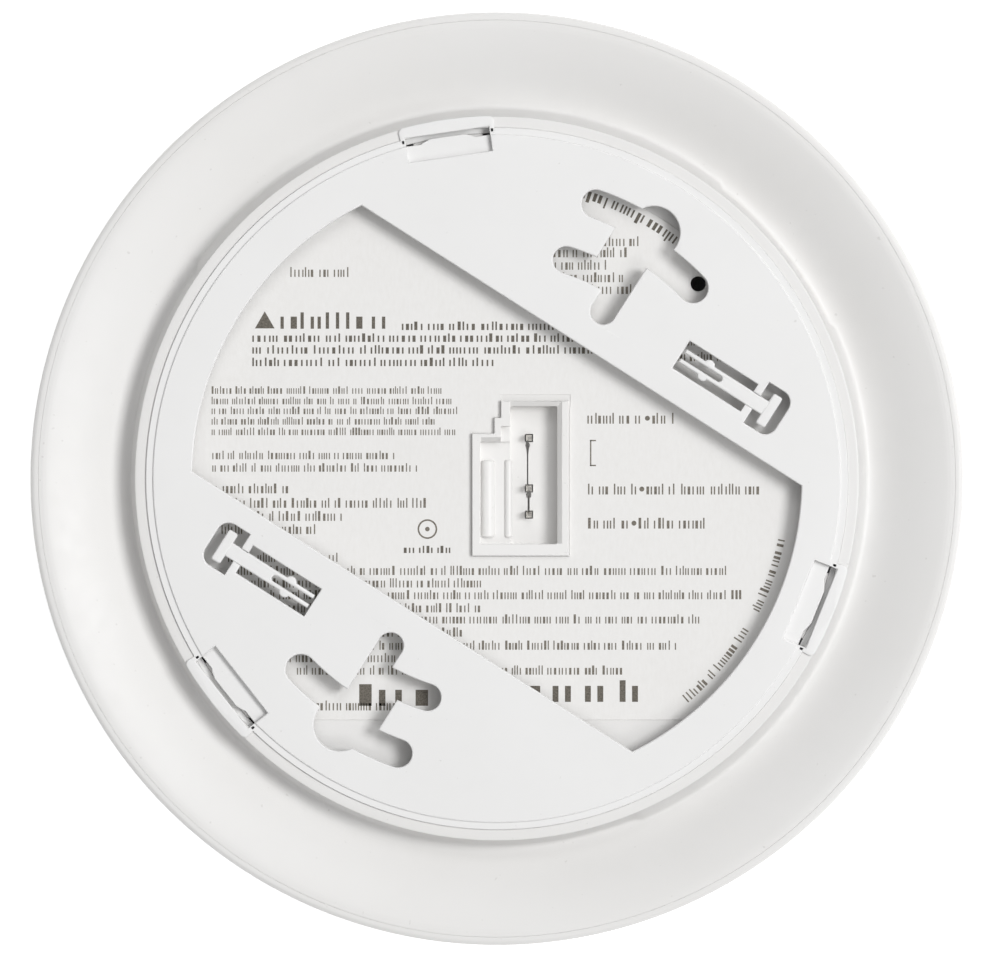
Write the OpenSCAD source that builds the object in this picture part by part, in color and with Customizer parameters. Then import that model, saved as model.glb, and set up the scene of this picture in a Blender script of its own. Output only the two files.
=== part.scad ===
// Mains-powered smoke alarm with battery backup, on its ceiling bracket.
// Z = 0 is the ceiling face of the bracket, and the alarm hangs towards -Z.
// X and Y lie in the ceiling plane.

/* [Body] */
// Widest diameter of the alarm, at its rim
body_d = 142.2; // [142:0.1:143]
// Depth from the ceiling face to the front face
body_depth = 50; // [49.8:0.1:51]
// Outer diameter of the neck around the bracket
neck_d = 110.4; // [110.2:0.1:110.8]
// Depth from the ceiling face to the pan that carries the label
pan_depth = 4.2; // [4.1:0.1:4.4]
// Thickness of the moulded shells
wall = 1.8; // [1.6:0.1:2]
// Number of vent slots around the front
vent_count = 72; // [36:4:80]
// Width of one vent slot
vent_w = 2.2; // [1.6:0.1:2.4]

/* [Bracket] */
// Diameter of the bracket plate
bracket_d = 106.9; // [106.6:0.1:107]
// Thickness of the bracket plate
bracket_t = 2.2; // [2:0.1:2.3]
// Direction in which the wiring opening runs, in degrees
bracket_turn = -32.5; // [-45:0.5:-20]
// Width of the wiring opening between its straight edges
opening_w = 48; // [46:0.5:49]
// Radius of the curved ends of the wiring opening
opening_r = 46.4; // [45.5:0.1:46.6]
// Direction of the first bayonet window, in degrees
window_turn = 98.2; // [96:0.1:100]
// How far the alarm turns to leave the bayonet, in degrees
release_turn = 14; // [13:0.5:15]

/* [Battery drawer] */
// Direction in which the drawer slides out, in degrees
drawer_turn = 22; // [21.5:0.1:22.5]
// Length of the battery without its terminals
battery_l = 46.6; // [46:0.1:46.6]
// Width of the battery
battery_w = 26.5; // [25.5:0.1:26.5]
// Thickness of the battery
battery_t = 17.5; // [16.5:0.1:17.5]

/* [Front] */
// Radius of the test button
button_r = 9; // [8:0.1:9.4]
// Travel of the test button
button_travel = 1.2; // [0.8:0.1:1.3]

/* [Hidden] */
$fn = 96;

shell_white = [0.93, 0.93, 0.91];
label_white = [0.92, 0.91, 0.89];
e = 0.01;

// Bracket
bracket_r = bracket_d / 2;
border_r = bracket_r - 1.05;
border_drop = 0.3;
tab_t = 0.4;
tab_r = 52.6;
skirt_t = 0.8;
skirt_bottom = -6;
ledge_top = -5;
window_r = 49.5;
window_outer_r = 53.25;
window_half = 6.45;
window_depth = 1.1;
slit_r = 52;
tab_half = 7.8;
window_count = 3;
// Screw circles of the keyhole arms: standard junction box spacings
box_60 = 60.3 / 2;
box_70 = 69.85 / 2;
box_83 = 83.3 / 2;
box_89 = 88.9 / 2;
key_head_r = 4;

// Neck, pan and channel of the back housing
neck_r = neck_d / 2;
neck_inner_r = neck_r - 1.6;
neck_top = -0.8;
neck_foot_r = neck_r + 1.3;
pan_top = -pan_depth;
pan_r = 48.8;
label_r = 46.9;
moat_floor = -7.4;
channel_floor = -5.8;
rim_z = -1.4;
rim_r = body_d / 2;
cover_wall = 2;
lip_t = 1.2;
groove_w = 0.15;
housing_r = rim_r - lip_t - groove_w;
skirt_end = -10.6;
hook_top = -2.45;
hook_r = 52.65;
// Hooks and ledges are both narrower than half the turn, so that the turn frees them
hook_half = release_turn / 2 - 1.1;
ledge_half = release_turn / 2 - 1.3;
stop_angle = 7.4;

// Circuit board, and the drawer under it
board_top = -11;
board_t = 1.6;
board_bottom = board_top - board_t;
board_r = 52;
rail_top = -13.2;
rail_t = 3;
tray_bottom = -33.3;
tray_floor_t = 1.3;
tray_start = 7.3;
tray_in_w = battery_w + 0.7;
tray_w = tray_in_w + 2.4;
rail_w = 35.6;
panel_w = 35.8;
panel_top = -12.9;
panel_bottom = -33.6;
fit_gap = 0.35;
battery_start = 9;
jacket_t = 0.35;
battery_bottom = tray_bottom + tray_floor_t + 0.1;
terminal_l = 2.8;
terminal_gap = 12.7;

// Lock-pin hole, in line with the drawer's rail
lock_hole_r = 1.17;
lock_at = [30.7, 29.7];

// The leaf of the test contact hangs low enough to bend by the button's travel
leaf_z = board_bottom - 2.2 - button_travel;

// Places of the sensor, horn, button and lamps
side_offset = 34;
chamber_at = side_offset * [cos(drawer_turn + 90), sin(drawer_turn + 90)];
horn_at = side_offset * [cos(drawer_turn - 90), sin(drawer_turn - 90)];
button_at = 24 * [cos(drawer_turn + 180), sin(drawer_turn + 180)];
lamp_at = [[-38, 4], [-38, -4]];
lamp_r = 1.6;
horn_r = 14.8;
chamber_r = 16.5;

// Socket, its walls and its pins
socket_x = [-3.8, 11];
socket_y = [-11.8, 11.9];
socket_top = pan_top + 1;
well_depth = 4;
shelf_depth = 2.4;
pin_w = 0.9;
pin_top = socket_top - 1.5;
pin_x = 4.9;
pin_ys = [6.2, -1.5, -5.5];

// Points of an arc about a centre
function arc(c, r, a0, a1, n) =
    [for (i = [0:n]) let (a = a0 + (a1 - a0) * i / n) c + r * [cos(a), sin(a)]];

// Height of the front crown's outer face at a distance from the axis
crown_r = 54.5;
crown_rise = 1.8;
function crown_z(r) = -body_depth + crown_rise * pow(r / crown_r, 2);

// Outline of the cover: rim, skirt, rounded shoulder, vent band and crown
shoulder_c = [rim_r - 23.07, -17.55];
shoulder_r = 21.84;
band_top = [61, -34.6];
band_bottom = [59.4, 6.6 - body_depth];
function cover_line(t) = concat(
    arc([rim_r - 0.8, rim_z - 0.8], 0.8 - t / 10, 60, 0, 3),
    [[rim_r - 0.4 - t, -14]],
    arc(shoulder_c, shoulder_r - t, -9.1, -48.9, 12),
    [[band_top[0] - t * 0.95, band_top[1] + t * 0.3]],
    arc([band_bottom[0] - 5, band_bottom[1]], 5 - t, 0, -80, 6),
    [for (r = [50:-10:0]) [r, crown_z(r) + t]]
);

module sector(r0, r1, z0, z1, a0, a1) {
    rotate([0, 0, a0]) rotate_extrude(angle = a1 - a0) translate([r0, z0]) square([r1 - r0, z1 - z0]);
}

module at_windows() {
    for (i = [0:window_count - 1]) rotate([0, 0, window_turn + i * 360 / window_count]) children();
}

module drawer_frame() {
    rotate([0, 0, drawer_turn]) children();
}

// A curved slot on a screw circle, from the keyhole's spine to its round end
module arm_slot(r, half, a) {
    reach = 80;
    intersection() {
        difference() {
            circle(r = r + half);
            circle(r = r - half);
        }
        rotate(-90) polygon([[0, 0], [reach, 0], reach * [cos(a), sin(a)]]);
    }
    rotate(a - 90) translate([r, 0]) circle(r = half + 0.03);
}

// Keyhole for the screws of a junction box: a spine, a round head and an arm for each spacing
module keyhole() {
    spine = 1.95;
    side = 5.3;
    translate([-spine, -box_83]) square([2 * spine, box_83 - box_60]);
    translate([-spine, -box_89]) square([spine + side, box_89 - box_70]);
    translate([0, -box_60]) circle(r = spine + 0.03);
    translate([0, -box_89]) circle(r = key_head_r);
    arm_slot(box_70, 2.05, 14.9);
    arm_slot(box_89, 2.15, 12.7);
    arm_slot(box_83, 2.3, -13.3);
}

// Outline of the pocket around one locking pin, along +X from the prong tips
pin_line = 31;
module pin_pocket() {
    translate([13.5, pin_line - 2.45]) square([12.3, 4.9]);
    translate([25, pin_line - 1.15]) square([3, 2.3]);
    translate([27.1, pin_line - 3.65]) square([2.7, 7.3]);
    translate([27.1, pin_line - 1.75]) square([4.6, 3.5]);
    for (s = [-1, 1]) translate([29.8, pin_line + s * 1.75]) circle(r = 1.9);
}

module locking_pin() {
    thick = 1.7;
    translate([0, 0, -border_drop - thick]) linear_extrude(thick) difference() {
        union() {
            translate([13.8, pin_line - 1.15]) square([15, 2.3]);
            translate([28.6, pin_line - 2.65]) square([1.6, 5.3]);
            for (s = [-1, 1]) translate([18, pin_line + s * 0.85]) circle(r = 0.9);
        }
        translate([13, pin_line - 0.5]) square([7.3, 1]);
        translate([20.3, pin_line]) circle(r = 0.5);
    }
}

module locking_pin_a() color(shell_white) rotate([0, 0, bracket_turn]) locking_pin();

module locking_pin_b() color(shell_white) rotate([0, 0, bracket_turn + 180]) locking_pin();

// Recess over one bayonet hook, inside the tab
module window() {
    translate([window_r, -window_half]) square([window_outer_r - window_r, 2 * window_half]);
}

// Slit through the outer side of the recess, narrower where its floor swells out
module window_slit() {
    swell = 0.65;
    difference() {
        translate([slit_r, -window_half]) square([bracket_r + 1 - slit_r, 2 * window_half]);
        polygon([[slit_r - 1, -4], [slit_r, -4], [slit_r + swell, -2.9],
                 [slit_r + swell, 2.9], [slit_r, 4], [slit_r - 1, 4]]);
    }
}

// Every opening through the bracket plate
module plate_openings() {
    half = opening_w / 2;
    rotate(bracket_turn) {
        intersection() {
            circle(r = opening_r);
            square([3 * opening_r, 2 * half], center = true);
        }
        for (turn = [0, 180]) rotate(turn) {
            keyhole();
            pin_pocket();
        }
    }
    at_windows() window_slit();
}

module mounting_bracket() color(shell_white) {
    inner = bracket_r - skirt_t;
    // Plate with its lowered border, and the skirt under the rim
    difference() {
        rotate_extrude($fn = 180) polygon([
            [0, 0], [border_r, 0], [border_r, -border_drop], [bracket_r, -border_drop],
            [bracket_r, skirt_bottom], [inner, skirt_bottom], [inner, -bracket_t], [0, -bracket_t]
        ]);
        translate([0, 0, -bracket_t - 0.5]) linear_extrude(2 * bracket_t) plate_openings();
        translate([0, 0, -window_depth]) linear_extrude(bracket_t) at_windows() window();
    }
    // Tabs over the neck's ring, outside the windows
    at_windows() difference() {
        sector(tab_r, neck_r, -border_drop - tab_t, -border_drop, -tab_half, tab_half);
        translate([0, 0, -bracket_t]) linear_extrude(2 * bracket_t) window();
    }
    // Bayonet ledges below the windows, each with a stop at its end
    at_windows() {
        sector(51.2, bracket_r - skirt_t / 2, skirt_bottom, ledge_top, -ledge_half, ledge_half);
        sector(50.2, bracket_r - skirt_t / 2, skirt_bottom, 0.5 - bracket_t, stop_angle, stop_angle + 0.8);
    }
}

// Share of the channel's climb that is done at a share t of its width
function channel_share(t) = (t - 0.35 * t * t - (1 - exp(-14 * t)) / 14) / 0.5786;

// Profile of the housing: pan, moat, neck, rising channel and rim
module housing_profile() {
    foot = neck_foot_r + 0.4;
    crest = 68.9;
    climb = rim_z - channel_floor;
    channel = [for (i = [0:9]) let (t = i / 9, r = foot + (crest - foot) * t)
        [r, channel_floor + climb * channel_share(t)]];
    polygon(concat(
        [[0, pan_top], [pan_r, pan_top], [pan_r, moat_floor], [neck_inner_r, moat_floor]],
        [[neck_inner_r, neck_top], [neck_r - 0.3, neck_top], [neck_r, neck_top - 0.3]],
        [[neck_foot_r, channel_floor + 0.25]],
        channel,
        [[housing_r, rim_z], [housing_r, skirt_end], [housing_r - wall, skirt_end]],
        [[housing_r - wall, rim_z - wall - 0.2], [62, channel_floor - wall + 2]],
        [[foot, channel_floor - wall], [neck_r, moat_floor - wall], [pan_r - wall, moat_floor - wall]],
        [[pan_r - wall, pan_top - wall], [0, pan_top - wall]]
    ));
}

// The wall of the neck stands steeper between two pairs of joint lines
module neck_step(a0, a1) {
    rotate([0, 0, a0]) rotate_extrude(angle = a1 - a0)
        polygon([[neck_r + 0.1, neck_top - 0.4], [neck_foot_r + 0.5, channel_floor + e],
                 [neck_foot_r - 0.6, channel_floor + e]]);
}

module socket_outline(grow) {
    difference() {
        translate([socket_x[0] - grow, socket_y[0] - grow])
            square([socket_x[1] - socket_x[0] + 2 * grow, socket_y[1] - socket_y[0] + 2 * grow]);
        translate([socket_x[0] - grow - 1, 6.9 + grow]) square([4.4, 9]);
        translate([socket_x[0] - grow - 1, 9.3 + grow]) square([5.4, 9]);
    }
}

post_angles = [75, 160, 215, 262, 318];

module back_housing() color(shell_white) {
    difference() {
        rotate_extrude($fn = 180) housing_profile();
        neck_step(24.8, 53);
        neck_step(144.5, 293);
        translate([0, 0, pan_top - 2 * wall]) linear_extrude(3 * wall) socket_outline(0.1);
        translate([lock_at[0], lock_at[1], pan_top - 2 * wall]) cylinder(r = lock_hole_r, h = 3 * wall);
    }
    // Bayonet hooks that stand in the moat and point outwards over the bracket's ledges
    at_windows() {
        sector(49.9, 50.9, moat_floor - e, hook_top, -hook_half - 1, stop_angle - 0.1);
        sector(50.9 - e, hook_r, hook_top - 1.6, hook_top, -hook_half, hook_half);
    }
    // Posts that carry the circuit board
    for (a = post_angles) rotate([0, 0, a]) translate([43.2, 0, board_top])
        cylinder(r = 2.2, h = pan_top - wall - board_top + e);
}

module back_label() color(label_white) {
    thick = 0.15;
    translate([0, 0, pan_top]) linear_extrude(thick) difference() {
        circle(r = label_r, $fn = 180);
        translate([-60, -60 - 36.8]) square([120, 60]);
        socket_outline(0.1);
        translate(lock_at) circle(r = lock_hole_r);
    }
}

module power_socket() color([0.9, 0.9, 0.88]) {
    depth = socket_top - board_top;
    difference() {
        translate([0, 0, board_top]) linear_extrude(depth) socket_outline(0);
        // Deep half with the contact pins
        translate([2, -10, socket_top - well_depth]) cube([7.3, 21, depth]);
        // Shallow half with the two guide ribs
        translate([-2.6, -10, socket_top - shelf_depth]) cube([4.7, 16, depth]);
        for (y = pin_ys) translate([pin_x - pin_w / 2, y - pin_w / 2, board_top - 1])
            cube([pin_w, pin_w, 9]);
    }
    for (x = [-1.2, 1.45]) translate([x, -9, socket_top - shelf_depth]) rotate([-90, 0, 0])
        cylinder(r = x < 0 ? 1.25 : 0.6, h = 12);
}

module contact_pin(y) {
    tip = 0.6;
    low = board_bottom - 0.5;
    translate([pin_x - pin_w / 2, y - pin_w / 2, low]) cube([pin_w, pin_w, pin_top - tip - low]);
    translate([pin_x, y, pin_top - tip]) rotate([0, 0, 45])
        cylinder(d1 = pin_w * sqrt(2), d2 = pin_w * 0.6, h = tip, $fn = 4);
}

module line_pin() color([0.75, 0.72, 0.6]) contact_pin(pin_ys[0]);

module interconnect_pin() color([0.75, 0.72, 0.6]) contact_pin(pin_ys[1]);

module neutral_pin() color([0.75, 0.72, 0.6]) contact_pin(pin_ys[2]);

// Closed ring of the cover wall, from the rim to the axis
module cover_shell_profile() {
    inside = cover_line(cover_wall);
    seat = [[rim_r - lip_t, rim_z], [rim_r - lip_t, skirt_end], [housing_r - wall, skirt_end],
            [housing_r - wall, skirt_end - 1.6]];
    body = [for (p = inside) if (p[1] < skirt_end - 2) p];
    back = concat(seat, body);
    polygon(concat(cover_line(0), [for (i = [len(back) - 1:-1:0]) back[i]]));
}

module cover_envelope() {
    rotate_extrude($fn = 180) polygon(concat([[0, rim_z]], cover_line(0)));
}

module drawer_window(gap) {
    drawer_frame() translate([40, -panel_w / 2 - gap, panel_bottom - gap])
        cube([40, panel_w + 2 * gap, panel_top - panel_bottom + 2 * gap]);
}

module grille_slots() {
    pitch = 4.2;
    for (i = [-3:3]) let (half = sqrt(13.5 * 13.5 - pow(i * pitch, 2)))
        translate([-half, i * pitch - 1.1, -body_depth - 1]) cube([2 * half, 2.2, 5]);
}

module front_cover() color(shell_white) {
    difference() {
        union() {
            rotate_extrude($fn = 180) cover_shell_profile();
            translate([horn_at[0], horn_at[1], -body_depth + 2.2]) difference() {
                cylinder(r = horn_r + 1.5, h = 6);
                translate([0, 0, -1]) cylinder(r = horn_r + 0.1, h = 8);
            }
        }
        drawer_window(fit_gap);
        for (i = [0:vent_count - 1]) rotate([0, 0, i * 360 / vent_count])
            translate([55, -vent_w / 2, band_bottom[1] + 0.6]) cube([9, vent_w, 7]);
        translate([horn_at[0], horn_at[1], 0]) rotate([0, 0, drawer_turn]) grille_slots();
        translate([button_at[0], button_at[1], -body_depth - 1]) cylinder(r = button_r + fit_gap, h = 6);
        for (p = lamp_at) translate([p[0], p[1], -body_depth - 1]) cylinder(r = lamp_r, h = 6);
    }
}

module insect_screen() color([0.35, 0.36, 0.37]) {
    z0 = band_bottom[1] + 0.3;
    h = 8.2;
    openings = 48;
    difference() {
        translate([0, 0, z0]) cylinder(r = 56.7, h = h);
        translate([0, 0, z0 - 1]) cylinder(r = 56.2, h = h + 2);
        for (i = [0:openings - 1]) rotate([0, 0, i * 360 / openings])
            translate([54, -3.1, z0 + 0.8]) cube([4, 6.2, h - 1.6]);
    }
}

module drawer_guide() color([0.85, 0.85, 0.83]) drawer_frame() {
    outer = rail_w / 2 + 1.7;
    inner = rail_w / 2 + 0.3;
    low = rail_top - rail_t - 1.8;
    for (s = [-1, 1]) {
        translate([-0.5, s > 0 ? inner : -outer, low]) cube([58.5, outer - inner, board_bottom - low]);
        translate([8, s > 0 ? tray_w / 2 + 0.3 : -outer, low])
            cube([50, outer - tray_w / 2 - 0.3, 1.5]);
    }
    translate([-0.5, -outer, low]) cube([1.5, 2 * outer, board_bottom - low]);
}

module main_board() color([0.15, 0.4, 0.2]) {
    difference() {
        translate([0, 0, board_bottom]) cylinder(r = board_r, h = board_t, $fn = 128);
        for (y = pin_ys) translate([pin_x - pin_w / 2, y - pin_w / 2, board_bottom - 1])
            cube([pin_w, pin_w, board_t + 2]);
        translate([lock_at[0], lock_at[1], board_bottom - 1]) cylinder(r = 2.2, h = board_t + 2);
        rotate([0, 0, drawer_turn]) translate([49, -19, board_bottom - 1]) cube([10, 38, board_t + 2]);
    }
}

module at_chamber() {
    translate([chamber_at[0], chamber_at[1], 0]) children();
}

module at_horn() {
    translate([horn_at[0], horn_at[1], 0]) children();
}

chamber_floor = board_bottom - 2.4;
chamber_front = -33;

module chamber_base() color([0.9, 0.88, 0.8]) at_chamber() {
    difference() {
        translate([0, 0, chamber_floor]) cylinder(r = chamber_r + 1.5, h = board_bottom - chamber_floor);
        rotate([0, 0, drawer_turn]) translate([-20, -40 - chamber_r + 2.6, chamber_floor - 1])
            cube([40, 40, 5]);
    }
}

module chamber_can() color([0.75, 0.76, 0.78]) at_chamber() {
    t = 0.5;
    h = chamber_floor - chamber_front;
    r = chamber_r - 2.8;
    difference() {
        translate([0, 0, chamber_front]) cylinder(r = r, h = h);
        translate([0, 0, chamber_front + t]) cylinder(r = r - t, h = h);
        for (a = [0:30:330]) rotate([0, 0, a]) translate([r - 2, -2, chamber_front + 3]) cube([4, 4, 2.4]);
        for (a = [0:60:300]) rotate([0, 0, a]) translate([6, 0, chamber_front - 1])
            cylinder(r = 1.6, h = 3);
    }
}

module source_holder() color([0.8, 0.78, 0.7]) at_chamber() {
    translate([0, 0, chamber_floor - 3]) difference() {
        cylinder(r = 4, h = 3);
        translate([0, 0, -1]) cylinder(r = 2.5, h = 1.6);
    }
}

module source_foil() color([0.85, 0.8, 0.6]) at_chamber() {
    translate([0, 0, chamber_floor - 2.8]) cylinder(r = 2.4, h = 0.4);
}

module collector_plate() color([0.72, 0.73, 0.75]) at_chamber() {
    plate_z = chamber_floor - 8;
    difference() {
        translate([0, 0, plate_z]) cylinder(r = 9, h = 0.5);
        translate([0, 0, plate_z - 1]) cylinder(r = 2.2, h = 3);
    }
    for (a = [90, 210, 330]) rotate([0, 0, a]) translate([7, 0, plate_z + 0.5 - e])
        cylinder(r = 0.7, h = chamber_floor - plate_z - 0.5 + e, $fn = 24);
}

horn_front = crown_z(side_offset + horn_r) + cover_wall + 0.2;
horn_back = -35.5;

module horn_body() color([0.2, 0.2, 0.21]) at_horn() {
    difference() {
        translate([0, 0, horn_front]) cylinder(r = horn_r, h = horn_back - horn_front);
        translate([0, 0, horn_front + 1.2]) cylinder(r = horn_r - 1.6, h = 20);
        translate([0, 0, horn_front - 1]) cylinder(r = 4.5, h = 4);
    }
    translate([0, 0, horn_back - 4]) difference() {
        cylinder(r = horn_r - 1.6 + e, h = 1);
        translate([0, 0, -1]) cylinder(r = horn_r - 3.2, h = 3);
    }
}

module piezo_plate() color([0.8, 0.65, 0.3]) at_horn() {
    translate([0, 0, horn_back - 3]) cylinder(r = horn_r - 1.7, h = 0.3);
}

module piezo_ceramic() color([0.85, 0.84, 0.8]) at_horn() {
    translate([0, 0, horn_back - 2.7]) cylinder(r = horn_r - 5, h = 0.3);
}

module horn_contacts() color([0.78, 0.76, 0.7]) at_horn() {
    spots = [[0, 0], [7, 0], [11.5, 0]];
    for (i = [0:2]) rotate([0, 0, 120 * i + 150]) translate([spots[i][0], 0, 0]) {
        foot = i < 2 ? horn_back - 2.4 : horn_back - 2.7;
        translate([0, 0, foot]) cylinder(r = 0.45, h = board_bottom - foot, $fn = 24);
    }
}

module lamp(p) {
    lamp_body_r = 1.5;
    translate([p[0], p[1], board_bottom - 1]) cylinder(r = lamp_body_r + 0.4, h = 1);
    translate([p[0], p[1], board_bottom - 3.4]) cylinder(r = lamp_body_r, h = 2.4 + e);
    translate([p[0], p[1], board_bottom - 3.4]) sphere(r = lamp_body_r);
}

module red_led() color([0.8, 0.1, 0.08]) lamp(lamp_at[0]);

module green_led() color([0.1, 0.65, 0.2]) lamp(lamp_at[1]);

module light_pipes() color([0.9, 0.92, 0.93]) {
    pipe_top = board_bottom - 5.2;
    mid = (lamp_at[0] + lamp_at[1]) / 2;
    for (p = lamp_at) {
        front = crown_z(norm(p)) - 0.1;
        translate([p[0], p[1], front]) cylinder(r = lamp_r - 0.05, h = pipe_top - front);
    }
    translate([mid[0] - 0.8, mid[1] - 4, -44]) cube([1.6, 8, 2.4]);
}

module film_capacitor() color([0.75, 0.62, 0.2]) {
    translate([-31, -30, board_bottom - 13]) rotate([0, 0, 45]) translate([-9, -4, 0]) cube([18, 8, 13]);
}

module can_capacitor(r, h) {
    rubber = 0.8;
    difference() {
        translate([0, 0, -h]) cylinder(r = r, h = h);
        translate([-0.25, -r, -h - e]) cube([0.5, 2 * r, 0.3]);
        translate([-r, -0.25, -h - e]) cube([2 * r, 0.5, 0.3]);
        translate([0, 0, -2 * rubber]) difference() {
            cylinder(r = r + 1, h = rubber);
            translate([0, 0, -1]) cylinder(r = r - 0.35, h = rubber + 2);
        }
    }
}

module main_electrolytic() color([0.15, 0.17, 0.3]) {
    translate([-13, -41, board_bottom]) can_capacitor(5, 13);
}

module small_electrolytic() color([0.15, 0.17, 0.3]) {
    translate([-1, -45, board_bottom]) can_capacitor(3.2, 8);
}

module surge_varistor() color([0.15, 0.3, 0.6]) {
    translate([-6, -31, board_bottom - 6]) rotate([0, 90, 20]) cylinder(r = 5, h = 3.6);
    for (y = [-2.5, 2.5]) translate([-6, -31, 0]) rotate([0, 0, 20])
        translate([1.8, y, board_bottom - 2.6]) cylinder(r = 0.4, h = 2.6, $fn = 24);
}

// Dual in-line chip: moulded body on two rows of flat legs
module chip(length, legs) {
    pitch = 2.54;
    body_w = 6.4;
    translate([-length / 2, -body_w / 2, -4]) difference() {
        cube([length, body_w, 3.3]);
        translate([0, body_w / 2, -e]) cylinder(r = 0.9, h = 0.5);
    }
    for (i = [0:legs / 2 - 1], s = [-1, 1])
        translate([(i - (legs / 2 - 1) / 2) * pitch - 0.3, s * (body_w / 2 + 0.15) - 0.15, -2.6])
            cube([0.6, 0.3, 2.6]);
}

module alarm_chip() color([0.12, 0.12, 0.13])
    translate([-36.5, 17, board_bottom]) rotate([0, 0, 115]) chip(20, 16);

module interconnect_chip() color([0.12, 0.12, 0.13])
    translate([-9, -19, board_bottom]) rotate([0, 0, drawer_turn]) chip(9.6, 8);

// Axial part: round body between two bent leads that stand on the board
module axial(r, length) {
    lead_r = 0.3;
    half = length / 2 + 1.2;
    translate([-length / 2, 0, -r - 0.4]) rotate([0, 90, 0]) cylinder(r = r, h = length, $fn = 32);
    translate([-half, 0, -r - 0.4]) rotate([0, 90, 0]) cylinder(r = lead_r, h = 2 * half, $fn = 24);
    for (s = [-1, 1]) translate([s * half, 0, -r - 0.4]) cylinder(r = lead_r, h = r + 0.4, $fn = 24);
}

module resistors() color([0.78, 0.7, 0.55]) {
    for (i = [0:4]) translate([-42 + 1.2 * i, -10 - 3.6 * i, board_bottom]) rotate([0, 0, 10])
        axial(1.1, 6.2);
}

module diodes() color([0.14, 0.14, 0.15]) {
    for (i = [0:3]) translate([18 + 4.4 * i, -46 + 2.6 * i, board_bottom]) rotate([0, 0, 50])
        axial(1.3, 4.4);
}

module battery_contacts() color([0.78, 0.77, 0.72]) drawer_frame() {
    face_x = battery_start - terminal_l - 0.3;
    mid = battery_bottom + battery_t / 2;
    t = 0.4;
    for (s = [-1, 1]) translate([0, s * terminal_gap / 2, 0]) {
        translate([face_x - t, -3, mid - 4]) cube([t, 6, board_bottom - mid + 4]);
        translate([face_x - 2.4, -3, mid - 4]) cube([2.4, 6, t]);
        translate([face_x - 2.4, -3, mid - 4]) cube([t, 6, 7]);
    }
}

// Sprung leaf that the test button pushes against the board
module test_contact() color([0.8, 0.78, 0.72]) translate([button_at[0], button_at[1], 0]) {
    t = 0.3;
    rotate([0, 0, drawer_turn]) {
        translate([-9, -2, board_bottom - t]) cube([4, 4, t]);
        translate([-5 - t, -2, leaf_z]) cube([t, 4, board_bottom - leaf_z]);
        translate([-5 - t, -2, leaf_z]) cube([8, 4, t]);
    }
}

module battery_drawer() color(shell_white) {
    reach = 64;
    difference() {
        union() {
            intersection() {
                rotate_extrude($fn = 180) cover_shell_profile();
                drawer_window(0);
            }
            intersection() {
                cover_envelope();
                drawer_frame() {
                    tray_h = rail_top - tray_bottom;
                    side = (tray_w - tray_in_w) / 2;
                    translate([tray_start, -tray_w / 2, tray_bottom]) cube([reach, tray_w, tray_floor_t]);
                    for (s = [-1, 1]) {
                        translate([tray_start, s > 0 ? tray_in_w / 2 : -tray_w / 2, tray_bottom])
                            cube([reach, side, tray_h]);
                        translate([tray_start, s > 0 ? tray_in_w / 2 : -rail_w / 2, rail_top - rail_t])
                            cube([reach - 4, (rail_w - tray_in_w) / 2, rail_t]);
                    }
                    translate([tray_start, -tray_w / 2, tray_bottom]) cube([1.2, tray_w, 5]);
                    translate([battery_start + battery_l + 0.3, -tray_w / 2, tray_bottom])
                        cube([1.2, tray_w, tray_h - 4]);
                }
            }
        }
        // Eye for the locking pin, and a finger scoop in the front
        translate([lock_at[0], lock_at[1], rail_top - rail_t - 1]) cylinder(r = 1.4, h = rail_t + 2);
        drawer_frame() translate([83.7, 0, -24.8]) sphere(r = 16);
    }
}

// Rounded block of the battery's section, from its terminal end
module battery_block(start, length, inset) {
    r = 2;
    w = battery_w - 2 * inset;
    t = battery_t - 2 * inset;
    translate([start, 0, battery_bottom + battery_t / 2]) rotate([0, 90, 0]) linear_extrude(length) {
        square([t, w - 2 * r], center = true);
        square([t - 2 * r, w], center = true);
        for (i = [-1, 1], j = [-1, 1]) translate([i * (t / 2 - r), j * (w / 2 - r)])
            circle(r = r, $fn = 32);
    }
}

module battery_can() color([0.2, 0.22, 0.25]) drawer_frame() difference() {
    battery_block(battery_start + 0.8, battery_l - 0.8, 0);
    battery_block(battery_start, battery_l - jacket_t, jacket_t);
}

module battery_cells() color([0.6, 0.6, 0.62]) drawer_frame() {
    r = (battery_t - 2 * jacket_t) / 4 - 0.08;
    for (i = [-1:1], j = [-1, 1])
        translate([battery_start + 1.6, i * 2.04 * r, battery_bottom + battery_t / 2 + j * 1.01 * r])
            rotate([0, 90, 0]) cylinder(r = r, h = battery_l - 3);
}

module battery_end_cap() color([0.1, 0.1, 0.11]) drawer_frame() {
    translate([battery_start, 1 - battery_w / 2, battery_bottom + 1])
        cube([0.8, battery_w - 2, battery_t - 2]);
}

module battery_terminals() color([0.8, 0.79, 0.75]) drawer_frame() {
    mid = battery_bottom + battery_t / 2;
    for (s = [-1, 1]) translate([battery_start, s * terminal_gap / 2, mid]) rotate([0, -90, 0])
    difference() {
        cylinder(r = s > 0 ? 2.9 : 4, h = terminal_l, $fn = s > 0 ? 48 : 6);
        translate([0, 0, 0.8]) cylinder(r = s > 0 ? 1.6 : 2.9, h = 4);
    }
}

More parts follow.
